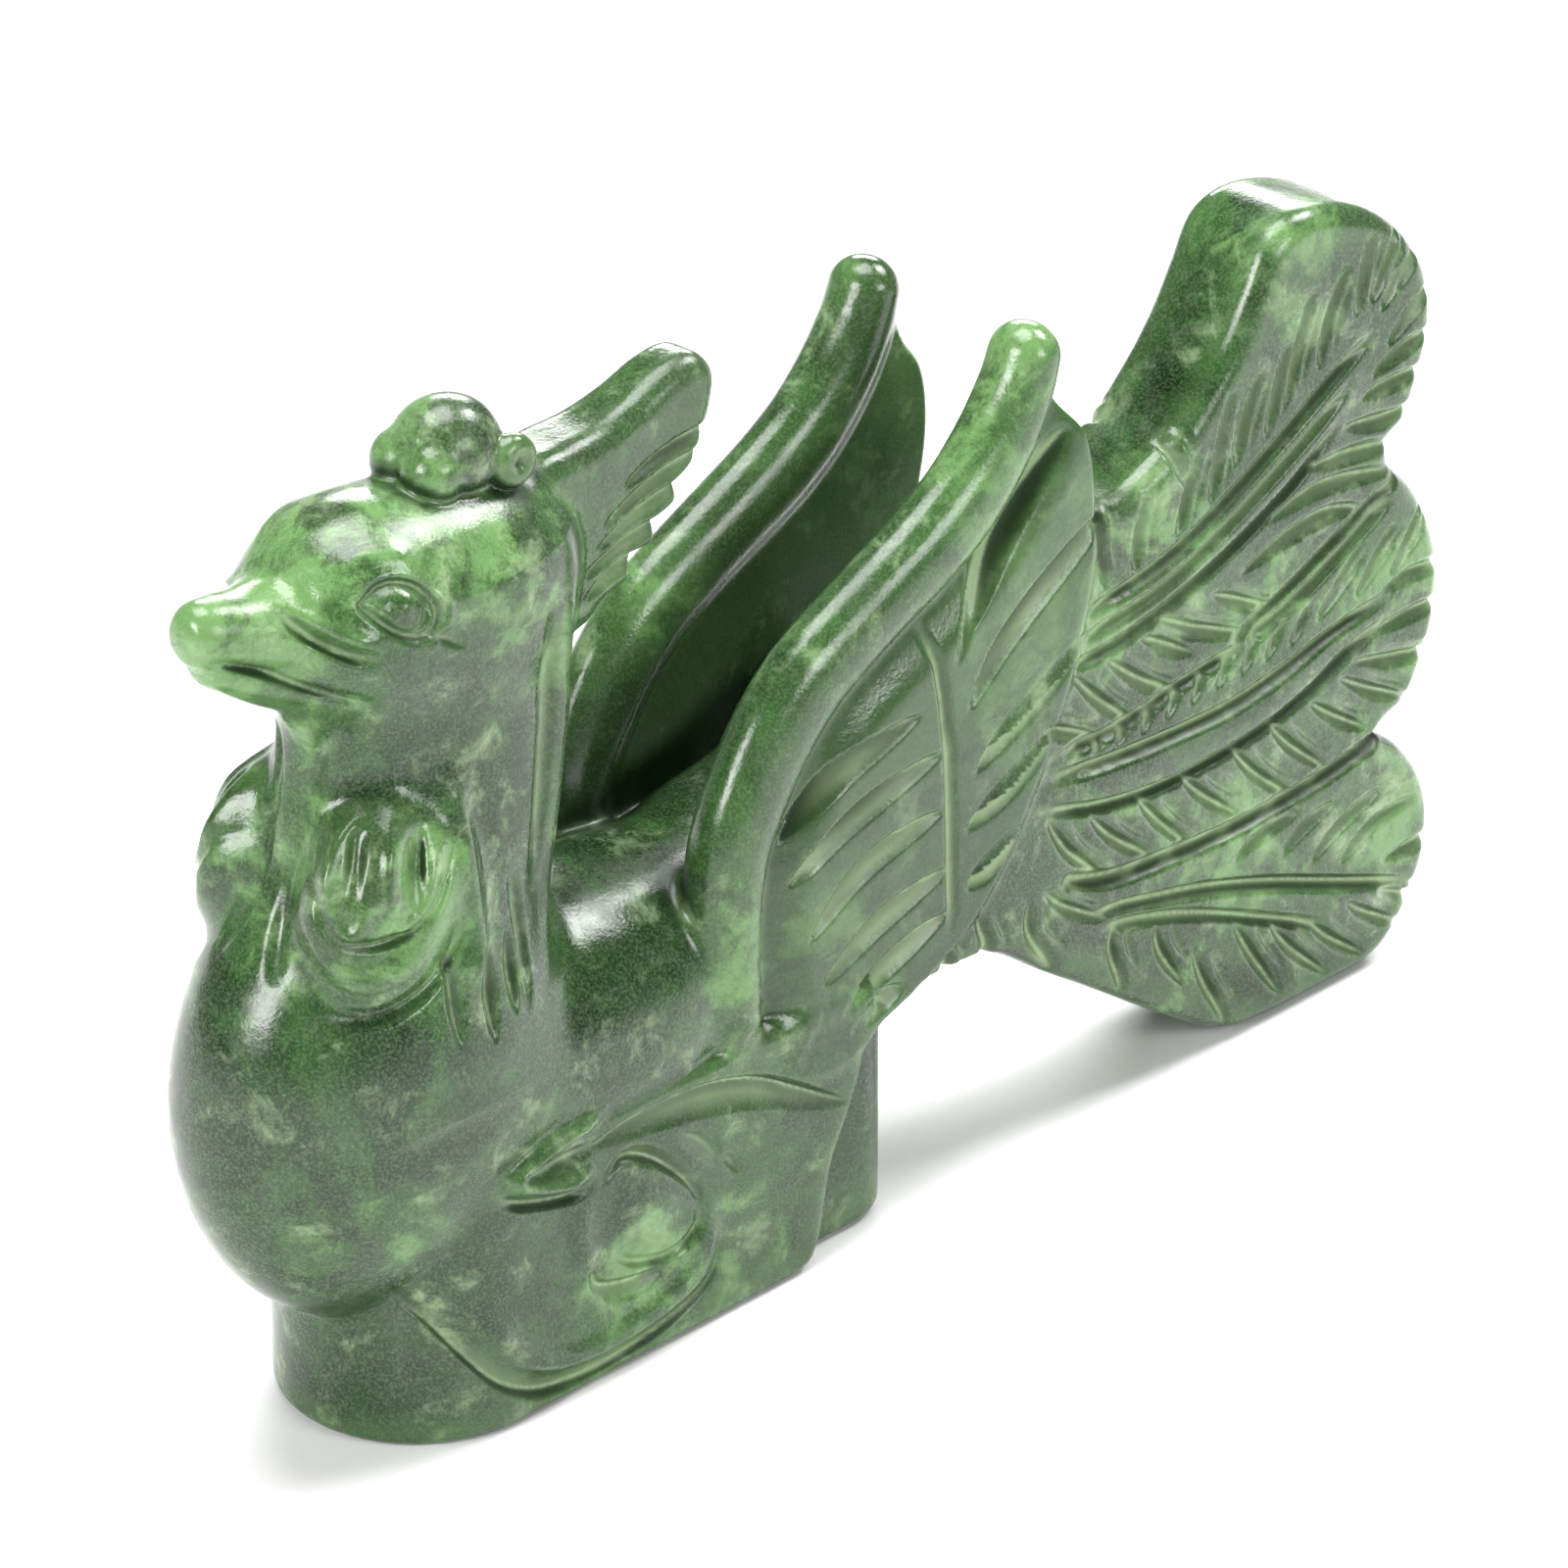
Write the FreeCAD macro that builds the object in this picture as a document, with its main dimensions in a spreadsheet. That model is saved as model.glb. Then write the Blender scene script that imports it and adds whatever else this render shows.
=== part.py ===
import FreeCAD, Part
import Sketcher
import os

# Carved jade phoenix on a cloud plinth, in millimetres.
#
# The origin is the centre of the plinth's flat underside. +X runs from the bird's head to its tail,
# +Z is up, and the bird's left side faces -Y. The figurine is one stone: each node is one carved region
# of it, and regions meet face to face.

doc = FreeCAD.newDocument("jade_phoenix")
dims = doc.addObject("Spreadsheet::Sheet", "Dims")
dims.Label = "Dimensions"

DIMENSIONS = [
    # the slab that the figurine is cut from
    ("slab_half", 12.6, "half the thickness of the slab"),
    # cloud plinth
    ("foot_front", -30, "front end of the foot"),
    ("foot_straight", 18, "rear end of the foot's main cloud"),
    ("foot_half", 12, "half width of the foot"),
    ("foot_edge", 2.5, "rounding of the foot's lower edge"),
    ("plinth_height", 24, "height at which the plinth disappears into the bird"),
    ("rear_cloud_x", 20, "centre of the rear cloud"),
    ("rear_cloud_length", 10, "half length of the rear cloud"),
    ("rear_cloud_width", 10, "half width of the rear cloud"),
    ("scroll_x", -4, "centre of the cloud scroll"),
    ("scroll_z", 12.5, "height of the scroll's centre"),
    ("scroll_size", 7, "radius of the scroll"),
    ("scroll_relief", 0.7, "how far the scroll stands off the plinth"),
    ("scroll_ring", 4.2, "radius of the scroll's groove"),
    ("scroll_groove", 0.5, "radius of the groove's section"),
    # body
    ("breast_x", -24, "centre of the breast"),
    ("breast_z", 31, "height of the breast's centre"),
    ("breast_length", 17, "half length of the breast"),
    ("breast_height", 21, "half height of the breast"),
    ("torso_x", 4, "centre of the torso"),
    ("torso_z", 31, "height of the torso's centre"),
    ("torso_length", 32, "half length of the torso"),
    ("torso_height", 13, "half height of the torso"),
    # neck
    ("neck_x", -15.5, "centre of the neck half way up"),
    ("neck_low", 40, "height of the neck's root"),
    ("neck_high", 71, "height at which the neck ends inside the head"),
    ("neck_length", 15, "half depth of the neck, front to back"),
    ("neck_half", 9.5, "half thickness of the neck"),
    ("wattle_x", -28.5, "centre of the wattles"),
    ("wattle_y", 8, "distance of a wattle from the middle plane"),
    ("wattle_z", 53, "height of a wattle's centre"),
    ("wattle_length", 6.5, "half width of a wattle"),
    ("wattle_half", 3.8, "half thickness of a wattle"),
    ("wattle_height", 9.5, "half height of a wattle"),
    # head
    ("head_x", -18.5, "centre of the head"),
    ("head_z", 73, "height of the head's centre"),
    ("head_length", 15, "half length of the head"),
    ("head_half", 9.5, "half thickness of the head"),
    ("head_height", 10.5, "half height of the head"),
    ("beak_tip", -41.5, "tip of the beak"),
    ("beak_root", -24, "place inside the head where the beak starts"),
    ("beak_tip_z", 77, "height of the beak's tip"),
    ("beak_root_z", 73, "height of the upper beak's root"),
    ("beak_root_half", 6.2, "half width of the upper beak's root"),
    ("beak_root_rise", 4.6, "half height of the upper beak's root"),
    ("jaw_drop", 4.5, "how far the lower beak lies under the upper"),
    ("eye_x", -25.5, "centre of the eyes"),
    ("eye_y", 7.4, "distance of an eye's centre from the middle plane"),
    ("eye_z", 76.5, "height of the eyes"),
    ("eye_size", 2.5, "radius of an eye"),
    # crest
    ("knob_x", -14, "centre of the crest's knob"),
    ("knob_z", 83.6, "height of the knob's centre"),
    ("knob_length", 6.4, "half length of the knob"),
    ("knob_half", 4.8, "half thickness of the knob"),
    ("knob_height", 4.4, "half height of the knob"),
    ("curl_x", -5.6, "centre of the crest's curls"),
    ("curl_y", 4.2, "distance of a curl from the middle plane"),
    ("curl_z", 80.5, "height of the curls"),
    ("curl_size", 2.1, "radius of a curl"),
    ("plume_x", -12, "root of the plume"),
    ("plume_z", 61, "lowest point of the plume"),
    ("plume_length", 28.5, "length of the plume"),
    ("plume_height", 23, "height of the plume"),
    ("plume_thick", 8, "thickness of the plume"),
    ("plume_edge", 1.6, "rounding of the plume's edges"),
    # wings
    ("wing_x", 7, "front of the wing"),
    ("wing_z", 19, "foot of the wing"),
    ("wing_length", 44, "length of the wing"),
    ("wing_height", 61.5, "height of the wing from foot to tip"),
    ("roll_y", 9.2, "distance of the rolled edge from the middle plane"),
    ("roll_size", 4.6, "half width of the rolled edge at the shoulder"),
    ("roll_tip", 2.6, "half width of the rolled edge at its tip"),
    ("panel_inner", 7.2, "distance of the wing panel's inner face from the middle plane"),
    ("panel_thick", 5, "thickness of the wing panel"),
    ("panel_edge", 1, "rounding of the wing panel's outer edge"),
    # tail
    ("tail_root_x", 36, "centre of the tail's root"),
    ("tail_root_y", -3.2, "the tail's root leans to the bird's left"),
    ("tail_root_z", 34, "height of the centre of the tail's root"),
    ("tail_root_length", 19, "half length of the tail's root"),
    ("tail_root_half", 8, "half thickness of the tail's root"),
    ("tail_root_height", 16, "half height of the tail's root"),
    ("tail_x", 40, "front of the tail feathers"),
    ("foot_level", 0, "height of the surface that the figurine stands on"),
    ("tail_length", 56.5, "length of the tail feathers"),
    ("tail_height", 80.5, "height of the tail"),
    ("tail_near", -11.8, "the tail's left face"),
    ("tail_thick", 12, "thickness of the tail"),
    ("tail_edge", 1.5, "rounding of the tail's edges"),
]

for row, (alias, value, meaning) in enumerate(DIMENSIONS, start=1):
    dims.set(f"A{row}", meaning)
    dims.set(f"B{row}", str(value))
    dims.setAlias(f"B{row}", alias)
doc.recompute()


def bind(item, **properties):
    """Binds properties of a document object to formulas over the sheet."""
    for name, formula in properties.items():
        path = name.replace("__", ".")
        item.setExpression(path, formula)


def at(item, east="0 mm", north="0 mm", up="0 mm"):
    """Binds the place of a document object."""
    bind(item, Placement__Base__x=east, Placement__Base__y=north, Placement__Base__z=up)


def ellipsoid(name, centre, radii):
    """A whole ellipsoid: its centre and its radii along X, Y and Z are formulas."""
    item = doc.addObject("Part::Ellipsoid", name)
    item.Angle1 = -90
    item.Angle2 = 90
    bind(item, Radius2=radii[0], Radius3=radii[1], Radius1=radii[2])
    at(item, *centre)
    return item


def loft(name, sections, wide=False):
    """A smooth solid through ellipses. A section is (centre, turn about Y, radius along, radius across Y).

    The radius along is the larger one, or in a `wide` loft the radius across.
    """
    rings = []
    for number, (centre, turn, along, across) in enumerate(sections):
        ring = doc.addObject("Part::Ellipse", f"{name}_section_{number}")
        rotation = FreeCAD.Rotation(FreeCAD.Vector(0, 1, 0), turn)
        if wide:
            rotation = rotation * FreeCAD.Rotation(FreeCAD.Vector(0, 0, 1), 90)
        ring.Placement.Rotation = rotation
        major, minor = (across, along) if wide else (along, across)
        bind(ring, MajorRadius=major, MinorRadius=minor)
        at(ring, *centre)
        rings.append(ring)
    item = doc.addObject("Part::Loft", name)
    item.Sections = rings
    item.Solid = True
    return item


def mirrored(name, source):
    """The same region on the bird's right side."""
    item = doc.addObject("Part::Mirroring", name)
    item.Source = source
    item.Normal = FreeCAD.Vector(0, 1, 0)
    return item


def side_sketch(body, name, offset):
    """An empty sketch in the upright XZ plane, moved by `offset` towards the bird's left."""
    sketch = body.newObject("Sketcher::SketchObject", name)
    for plane in body.Origin.OriginFeatures:
        if plane.Role == "XZ_Plane":
            sketch.AttachmentSupport = [(plane, "")]
    sketch.MapMode = "FlatFace"
    bind(sketch, AttachmentOffset__Base__z=offset)
    return sketch


def draw_outline(sketch, frame, points):
    """A closed outline. `points` are shares of a frame (start, length, foot, height) held in the sheet."""
    start, length, foot, height = frame
    values = {key: dims.get(key) for key in frame}
    corners = []
    for share_x, share_z in points:
        x = values[start] + share_x * values[length]
        z = values[foot] + share_z * values[height]
        corners.append(FreeCAD.Vector(x, z, 0))
    for number, corner in enumerate(corners):
        following = corners[(number + 1) % len(corners)]
        sketch.addGeometry(Part.LineSegment(corner, following))
    for number, (share_x, share_z) in enumerate(points):
        following = (number + 1) % len(points)
        sketch.addConstraint(Sketcher.Constraint("Coincident", number, 2, following, 1))
        across = sketch.addConstraint(Sketcher.Constraint("DistanceX", -1, 1, number, 1, corners[number].x))
        sketch.setExpression(f"Constraints[{across}]", f"Dims.{start} + {share_x} * Dims.{length}")
        up = sketch.addConstraint(Sketcher.Constraint("DistanceY", -1, 1, number, 1, corners[number].y))
        sketch.setExpression(f"Constraints[{up}]", f"Dims.{foot} + {share_z} * Dims.{height}")


def round_face(body, feature, side, radius):
    """Rounds the outline of the flat face of `feature` that lies furthest towards `side` (-1 left, 1 right)."""
    doc.recompute()
    flat = [face for face in feature.Shape.Faces if abs(face.normalAt(0, 0).y) > 0.99]
    outer = max(flat, key=lambda face: side * face.CenterOfMass.y)
    names = []
    for number, edge in enumerate(feature.Shape.Edges, start=1):
        if any(edge.isSame(other) for other in outer.Edges):
            names.append(f"Edge{number}")
    fillet = body.newObject("PartDesign::Fillet", f"{body.Name}_rounding_{'left' if side < 0 else 'right'}")
    fillet.Base = (feature, names)
    bind(fillet, Radius=radius)
    return fillet


def plate(name, frame, points, inner, thickness, rounding, both_faces=True):
    """An upright plate from the plane `inner` outwards to the bird's left, with rounded edges."""
    body = doc.addObject("PartDesign::Body", name)
    sketch = side_sketch(body, name + "_outline", inner)
    draw_outline(sketch, frame, points)
    pad = body.newObject("PartDesign::Pad", name + "_pad")
    pad.Profile = sketch
    bind(pad, Length=thickness)
    last = round_face(body, pad, -1, rounding)
    if both_faces:
        last = round_face(body, last, 1, rounding)
    body.Tip = last
    return body


# ---- cloud plinth ----

def foot_body():
    """The main cloud: a pad with a round front, its lower edge rounded."""
    body = doc.addObject("PartDesign::Body", "plinth")
    sketch = body.newObject("Sketcher::SketchObject", "plinth_footprint")
    for plane in body.Origin.OriginFeatures:
        if plane.Role == "XY_Plane":
            sketch.AttachmentSupport = [(plane, "")]
    sketch.MapMode = "FlatFace"
    half = dims.get("foot_half")
    nose = dims.get("foot_front") + half
    rear = dims.get("foot_straight")
    centre = FreeCAD.Vector(nose, 0, 0)
    circle = Part.Circle(centre, FreeCAD.Vector(0, 0, 1), half)
    quarter = 1.5707963
    sketch.addGeometry(Part.ArcOfCircle(circle, quarter, 3 * quarter))
    sketch.addGeometry(Part.LineSegment(FreeCAD.Vector(nose, -half, 0), FreeCAD.Vector(rear, -half, 0)))
    sketch.addGeometry(Part.LineSegment(FreeCAD.Vector(rear, -half, 0), FreeCAD.Vector(rear, half, 0)))
    sketch.addGeometry(Part.LineSegment(FreeCAD.Vector(rear, half, 0), FreeCAD.Vector(nose, half, 0)))
    for first, first_end, second, second_end in ((0, 2, 1, 1), (1, 2, 2, 1), (2, 2, 3, 1), (3, 2, 0, 1)):
        sketch.addConstraint(Sketcher.Constraint("Coincident", first, first_end, second, second_end))
    sketch.addConstraint(Sketcher.Constraint("Horizontal", 1))
    sketch.addConstraint(Sketcher.Constraint("Horizontal", 3))
    sketch.addConstraint(Sketcher.Constraint("Vertical", 2))
    sketch.addConstraint(Sketcher.Constraint("PointOnObject", 0, 3, -1))
    radius = sketch.addConstraint(Sketcher.Constraint("Radius", 0, half))
    sketch.setExpression(f"Constraints[{radius}]", "Dims.foot_half")
    front = sketch.addConstraint(Sketcher.Constraint("DistanceX", 0, 3, -1, 1, -nose))
    sketch.setExpression(f"Constraints[{front}]", "-Dims.foot_front - Dims.foot_half")
    back = sketch.addConstraint(Sketcher.Constraint("DistanceX", -1, 1, 2, 1, rear))
    sketch.setExpression(f"Constraints[{back}]", "Dims.foot_straight")
    side = sketch.addConstraint(Sketcher.Constraint("DistanceY", 2, 1, -1, 1, half))
    sketch.setExpression(f"Constraints[{side}]", "Dims.foot_half")
    pad = body.newObject("PartDesign::Pad", "plinth_pad")
    pad.Profile = sketch
    bind(pad, Length="Dims.plinth_height")
    doc.recompute()
    lower = []
    for number, edge in enumerate(pad.Shape.Edges, start=1):
        if edge.BoundBox.ZMax < 0.01:
            lower.append(f"Edge{number}")
    fillet = body.newObject("PartDesign::Fillet", "plinth_rounding")
    fillet.Base = (pad, lower)
    bind(fillet, Radius="Dims.foot_edge")
    body.Tip = fillet
    return body


def rear_cloud_body():
    """The rear cloud: an upright elliptic column."""
    ring = doc.addObject("Part::Ellipse", "rear_cloud_section")
    bind(ring, MajorRadius="Dims.rear_cloud_length", MinorRadius="Dims.rear_cloud_width")
    at(ring, "Dims.rear_cloud_x")
    column = doc.addObject("Part::Extrusion", "rear_cloud")
    column.Base = ring
    column.DirMode = "Custom"
    column.Dir = FreeCAD.Vector(0, 0, 1)
    column.Solid = True
    bind(column, LengthFwd="Dims.plinth_height")
    return column


def scroll_body():
    """The left cloud scroll: a low boss on the plinth's flank with a round groove in its face."""
    boss = doc.addObject("Part::Cylinder", "scroll_boss")
    boss.Placement.Rotation = FreeCAD.Rotation(FreeCAD.Vector(1, 0, 0), 90)
    bind(boss, Radius="Dims.scroll_size", Height="Dims.foot_half + Dims.scroll_relief")
    at(boss, "Dims.scroll_x", "0 mm", "Dims.scroll_z")
    groove = doc.addObject("Part::Torus", "scroll_groove")
    groove.Placement.Rotation = FreeCAD.Rotation(FreeCAD.Vector(1, 0, 0), 90)
    bind(groove, Radius1="Dims.scroll_ring", Radius2="Dims.scroll_groove")
    at(groove, "Dims.scroll_x", "-Dims.foot_half - Dims.scroll_relief", "Dims.scroll_z")
    scroll = doc.addObject("Part::Cut", "scroll_left")
    scroll.Base = boss
    scroll.Tool = groove
    return scroll


plinth = foot_body()
rear_cloud = rear_cloud_body()
scroll_left = scroll_body()

# ---- body and neck ----

breast = ellipsoid(
    "breast_bulb",
    ("Dims.breast_x", "0 mm", "Dims.breast_z"),
    ("Dims.breast_length", "Dims.slab_half", "Dims.breast_height"),
)
torso = ellipsoid(
    "torso_bulk",
    ("Dims.torso_x", "0 mm", "Dims.torso_z"),
    ("Dims.torso_length", "Dims.slab_half", "Dims.torso_height"),
)
neck = loft("neck_column", [
    (("Dims.neck_x - 1.5", "0 mm", "Dims.neck_low"), 0, "Dims.neck_length", "Dims.neck_half * 1.15"),
    (("Dims.neck_x - 0.5", "0 mm", "Dims.neck_low * 0.66 + Dims.neck_high * 0.34"), 0,
     "Dims.neck_length * 0.97", "Dims.neck_half"),
    (("Dims.neck_x", "0 mm", "Dims.neck_low * 0.33 + Dims.neck_high * 0.67"), 0,
     "Dims.neck_length * 0.93", "Dims.neck_half * 0.95"),
    (("Dims.neck_x - 1", "0 mm", "Dims.neck_high"), 0, "Dims.neck_length * 0.85", "Dims.neck_half * 0.9"),
])
wattle_left = ellipsoid(
    "wattle_lobe_left",
    ("Dims.wattle_x", "-Dims.wattle_y", "Dims.wattle_z"),
    ("Dims.wattle_length", "Dims.wattle_half", "Dims.wattle_height"),
)

# ---- head and crest ----

head = ellipsoid(
    "skull",
    ("Dims.head_x", "0 mm", "Dims.head_z"),
    ("Dims.head_length", "Dims.head_half", "Dims.head_height"),
)
beak_upper = loft("upper_bill", [
    (("Dims.beak_root", "0 mm", "Dims.beak_root_z"), 90, "Dims.beak_root_rise", "Dims.beak_root_half"),
    (("Dims.beak_root * 0.45 + Dims.beak_tip * 0.55", "0 mm",
      "Dims.beak_root_z * 0.45 + Dims.beak_tip_z * 0.55"), 90,
     "Dims.beak_root_rise * 0.72", "Dims.beak_root_half * 0.62"),
    (("Dims.beak_tip", "0 mm", "Dims.beak_tip_z"), 90,
     "Dims.beak_root_rise * 0.36", "Dims.beak_root_half * 0.3"),
], wide=True)
beak_lower = loft("lower_bill", [
    (("Dims.beak_root", "0 mm", "Dims.beak_root_z - Dims.jaw_drop"), 90,
     "Dims.beak_root_rise * 0.9", "Dims.beak_root_half * 0.85"),
    (("Dims.beak_root * 0.45 + Dims.beak_tip * 0.55", "0 mm",
      "Dims.beak_root_z * 0.45 + Dims.beak_tip_z * 0.55 - Dims.jaw_drop * 0.75"), 90,
     "Dims.beak_root_rise * 0.6", "Dims.beak_root_half * 0.5"),
    (("Dims.beak_tip + 1.2", "0 mm", "Dims.beak_tip_z - Dims.jaw_drop * 0.5"), 90,
     "Dims.beak_root_rise * 0.3", "Dims.beak_root_half * 0.25"),
], wide=True)
eye_left = ellipsoid(
    "eyeball_left",
    ("Dims.eye_x", "-Dims.eye_y", "Dims.eye_z"),
    ("Dims.eye_size", "Dims.eye_size", "Dims.eye_size"),
)
knob = ellipsoid(
    "knob",
    ("Dims.knob_x", "0 mm", "Dims.knob_z"),
    ("Dims.knob_length", "Dims.knob_half", "Dims.knob_height"),
)
curl_left = ellipsoid(
    "curl_left",
    ("Dims.curl_x", "-Dims.curl_y", "Dims.curl_z"),
    ("Dims.curl_size", "Dims.curl_size", "Dims.curl_size"),
)
plume = plate(
    "plume",
    ("plume_x", "plume_length", "plume_z", "plume_height"),
    [(0, 0.25), (0, 0.8), (0.3, 0.88), (0.6, 0.94), (0.8, 1), (0.93, 1), (1, 0.86), (1, 0.6), (0.92, 0.38),
     (0.78, 0.18), (0.5, 0.02)],
    "-Dims.plume_thick / 2", "Dims.plume_thick", "Dims.plume_edge",
)

# ---- wings ----

# Centre line of the rolled leading edge, from the wing's foot to its tip: share of the wing's length,
# share of its height, turn of the section about Y in degrees, and share of the full roll width.
WING_ROLL = [
    (0.02, 0.18, 0, 0.75),
    (0.02, 0.32, 8, 0.9),
    (0.07, 0.47, 25, 1.05),
    (0.24, 0.62, 47, 1.05),
    (0.53, 0.78, 48, 0.95),
    (0.75, 0.9, 40, 0.75),
    (0.83, 0.985, 28, 0.7),
]
WING_PANEL = [
    (0.02, 0.04), (0.05, 0.42), (0.25, 0.62), (0.5, 0.76), (0.8, 0.92), (0.93, 0.78), (0.98, 0.66),
    (0.96, 0.5), (0.87, 0.35), (0.72, 0.18), (0.45, 0.04), (0.2, 0),
]


def wing_point(share_x, share_z):
    """A place on the left wing's rolled edge, as formulas."""
    return (
        f"Dims.wing_x + {share_x} * Dims.wing_length",
        "-Dims.roll_y",
        f"Dims.wing_z + {share_z} * Dims.wing_height",
    )


roll_sections = []
for share_x, share_z, turn, width in WING_ROLL:
    along = f"Dims.roll_size * {width}"
    across = f"Dims.roll_tip + (Dims.slab_half - Dims.roll_y - Dims.roll_tip) * {width}"
    roll_sections.append((wing_point(share_x, share_z), turn, along, across))
wing_edge_left = loft("wing_roll_left", roll_sections)
wing_panel_left = plate(
    "wing_vane_left",
    ("wing_x", "wing_length", "wing_z", "wing_height"),
    WING_PANEL, "Dims.panel_inner", "Dims.panel_thick", "Dims.panel_edge",
)

# ---- tail ----

tail_root = ellipsoid(
    "tail_stem",
    ("Dims.tail_root_x", "Dims.tail_root_y", "Dims.tail_root_z"),
    ("Dims.tail_root_length", "Dims.tail_root_half", "Dims.tail_root_height"),
)
FEATHERS = {
    "top": [
        (0.12, 0.48), (0.2, 0.69), (0.4, 0.74), (0.5, 0.82), (0.56, 0.92), (0.65, 0.99), (0.78, 0.965),
        (0.88, 0.9), (0.94, 0.82), (0.95, 0.72), (0.87, 0.62),
    ],
    "middle": [
        (0.12, 0.34), (0.12, 0.48), (0.87, 0.62), (0.94, 0.58), (0.99, 0.47), (0.98, 0.36), (0.88, 0.3),
    ],
    "bottom": [
        (0, 0.245), (0.12, 0.34), (0.88, 0.3), (0.95, 0.25), (0.99, 0.14), (0.96, 0.05), (0.85, 0),
        (0.56, 0), (0.4, 0.06), (0.2, 0.17), (0.08, 0.215),
    ],
}
feathers = {}
for feather, outline in FEATHERS.items():
    feathers[feather] = plate(
        "feather_" + feather,
        ("tail_x", "tail_length", "foot_level", "tail_height"),
        outline, "-Dims.tail_near - Dims.tail_thick", "Dims.tail_thick", "Dims.tail_edge",
    )

# ---- regions: where two shapes meet, the one listed first keeps its shape ----

# Node name, its whole shape, and the name of its mirror image on the bird's right side, if it has one.
REGIONS = [
    ("head", head, None),
    ("eye_left", eye_left, "eye_right"),
    ("beak_upper", beak_upper, None),
    ("beak_lower", beak_lower, None),
    ("crest_knob", knob, None),
    ("neck", neck, None),
    ("crest_curl_left", curl_left, "crest_curl_right"),
    ("crest_plume", plume, None),
    ("torso", torso, None),
    ("breast", breast, None),
    ("wattle_left", wattle_left, "wattle_right"),
    ("wing_edge_left", wing_edge_left, "wing_edge_right"),
    ("wing_panel_left", wing_panel_left, "wing_panel_right"),
    ("cloud_plinth", plinth, None),
    ("plinth_rear_cloud", rear_cloud, None),
    ("cloud_scroll_left", scroll_left, "cloud_scroll_right"),
    ("tail_root", tail_root, None),
    ("tail_feather_top", feathers["top"], None),
    ("tail_feather_middle", feathers["middle"], None),
    ("tail_feather_bottom", feathers["bottom"], None),
]
SLIVER = 1e-4


def region(node, whole, earlier):
    """Takes away from `whole` what the earlier regions already fill, and gives it the node's name."""
    result = whole
    for other in earlier:
        if result.Shape.common(other.Shape).Volume < SLIVER:
            continue
        cut = doc.addObject("Part::Cut", f"{node}_less_{other.Name}")
        cut.Base = result
        cut.Tool = other
        doc.recompute()
        result = cut
    result.Label = node
    return result


doc.recompute()
nodes = {}
for node, whole, twin in REGIONS:
    nodes[node] = region(node, whole, list(nodes.values()))
    if twin:
        nodes[twin] = mirrored(twin + "_mirror", nodes[node])
        nodes[twin].Label = twin
        doc.recompute()

# ---- checks and export ----

for item in doc.Objects:
    if "Invalid" in item.State or "Error" in item.State:
        raise RuntimeError(f"{item.Name} failed: {item.State}")
for node, item in nodes.items():
    shape = item.Shape
    if shape.isNull() or not shape.isValid() or len(shape.Solids) != 1:
        raise RuntimeError(f"{node}: null, invalid or {len(shape.Solids)} solids")

os.makedirs("parts", exist_ok=True)
for node, item in nodes.items():
    item.Shape.exportStep(f"parts/{node}.step")
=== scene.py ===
import math
import bpy
import numpy as np
import openvdb
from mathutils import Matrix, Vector


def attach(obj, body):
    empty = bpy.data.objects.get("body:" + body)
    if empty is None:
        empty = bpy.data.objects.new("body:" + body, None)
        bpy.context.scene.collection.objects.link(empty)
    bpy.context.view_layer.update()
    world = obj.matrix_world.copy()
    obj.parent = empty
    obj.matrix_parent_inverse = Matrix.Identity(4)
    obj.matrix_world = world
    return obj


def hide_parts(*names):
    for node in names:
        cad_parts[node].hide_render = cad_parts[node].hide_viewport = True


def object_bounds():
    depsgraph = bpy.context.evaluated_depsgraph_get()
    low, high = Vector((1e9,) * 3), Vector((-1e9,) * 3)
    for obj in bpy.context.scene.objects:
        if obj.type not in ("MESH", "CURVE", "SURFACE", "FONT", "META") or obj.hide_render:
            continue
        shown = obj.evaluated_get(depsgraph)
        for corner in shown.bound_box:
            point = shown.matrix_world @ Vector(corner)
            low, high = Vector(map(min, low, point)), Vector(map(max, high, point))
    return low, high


# A carved jade phoenix on a cloud plinth. The CAD nodes are its regions. Here the whole stone is sculpted
# as one distance field, meshed once, and divided into those regions, so that no seam shows.
# The sculpture is worked in millimetres in the CAD frame: +X towards the tail, the bird's left side at -Y.
# Both sides are carved alike, apart from the tail, so most shapes are functions of x, z and s, the distance
# from the middle plane. Outlines and strokes are lists of (x, z) points.

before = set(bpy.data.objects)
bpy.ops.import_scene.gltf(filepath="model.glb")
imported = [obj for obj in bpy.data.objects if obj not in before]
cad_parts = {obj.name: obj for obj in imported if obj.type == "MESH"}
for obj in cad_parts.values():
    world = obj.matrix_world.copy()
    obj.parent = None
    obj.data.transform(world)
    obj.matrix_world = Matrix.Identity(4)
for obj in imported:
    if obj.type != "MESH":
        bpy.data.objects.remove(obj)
cad_low, cad_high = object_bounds()
MM = 0.001


# ---- camera ----

# angles in degrees, the distance in metres, the rest in millimetres
CAMERA_AZIMUTH = -45.4
CAMERA_ELEVATION = 28.2
CAMERA_AIM = (25, 0, 38.7)
CAMERA_DISTANCE = 0.7
FOCAL_LENGTH = 192
SENSOR_WIDTH = 36


def add_camera():
    """A long lens from the bird's front left, above it."""
    azimuth = math.radians(CAMERA_AZIMUTH)
    elevation = math.radians(CAMERA_ELEVATION)
    middle = Vector(CAMERA_AIM) * MM
    back = Vector((
        math.sin(azimuth) * math.cos(elevation),
        -math.cos(azimuth) * math.cos(elevation),
        math.sin(elevation),
    ))
    data = bpy.data.cameras.new("camera")
    data.lens = FOCAL_LENGTH
    data.sensor_width = SENSOR_WIDTH
    data.clip_start = 0.01
    camera = bpy.data.objects.new("camera", data)
    camera.location = middle + back * CAMERA_DISTANCE
    camera.rotation_euler = back.to_track_quat("Z", "Y").to_euler()
    bpy.context.collection.objects.link(camera)
    bpy.context.scene.camera = camera


add_camera()


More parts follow.
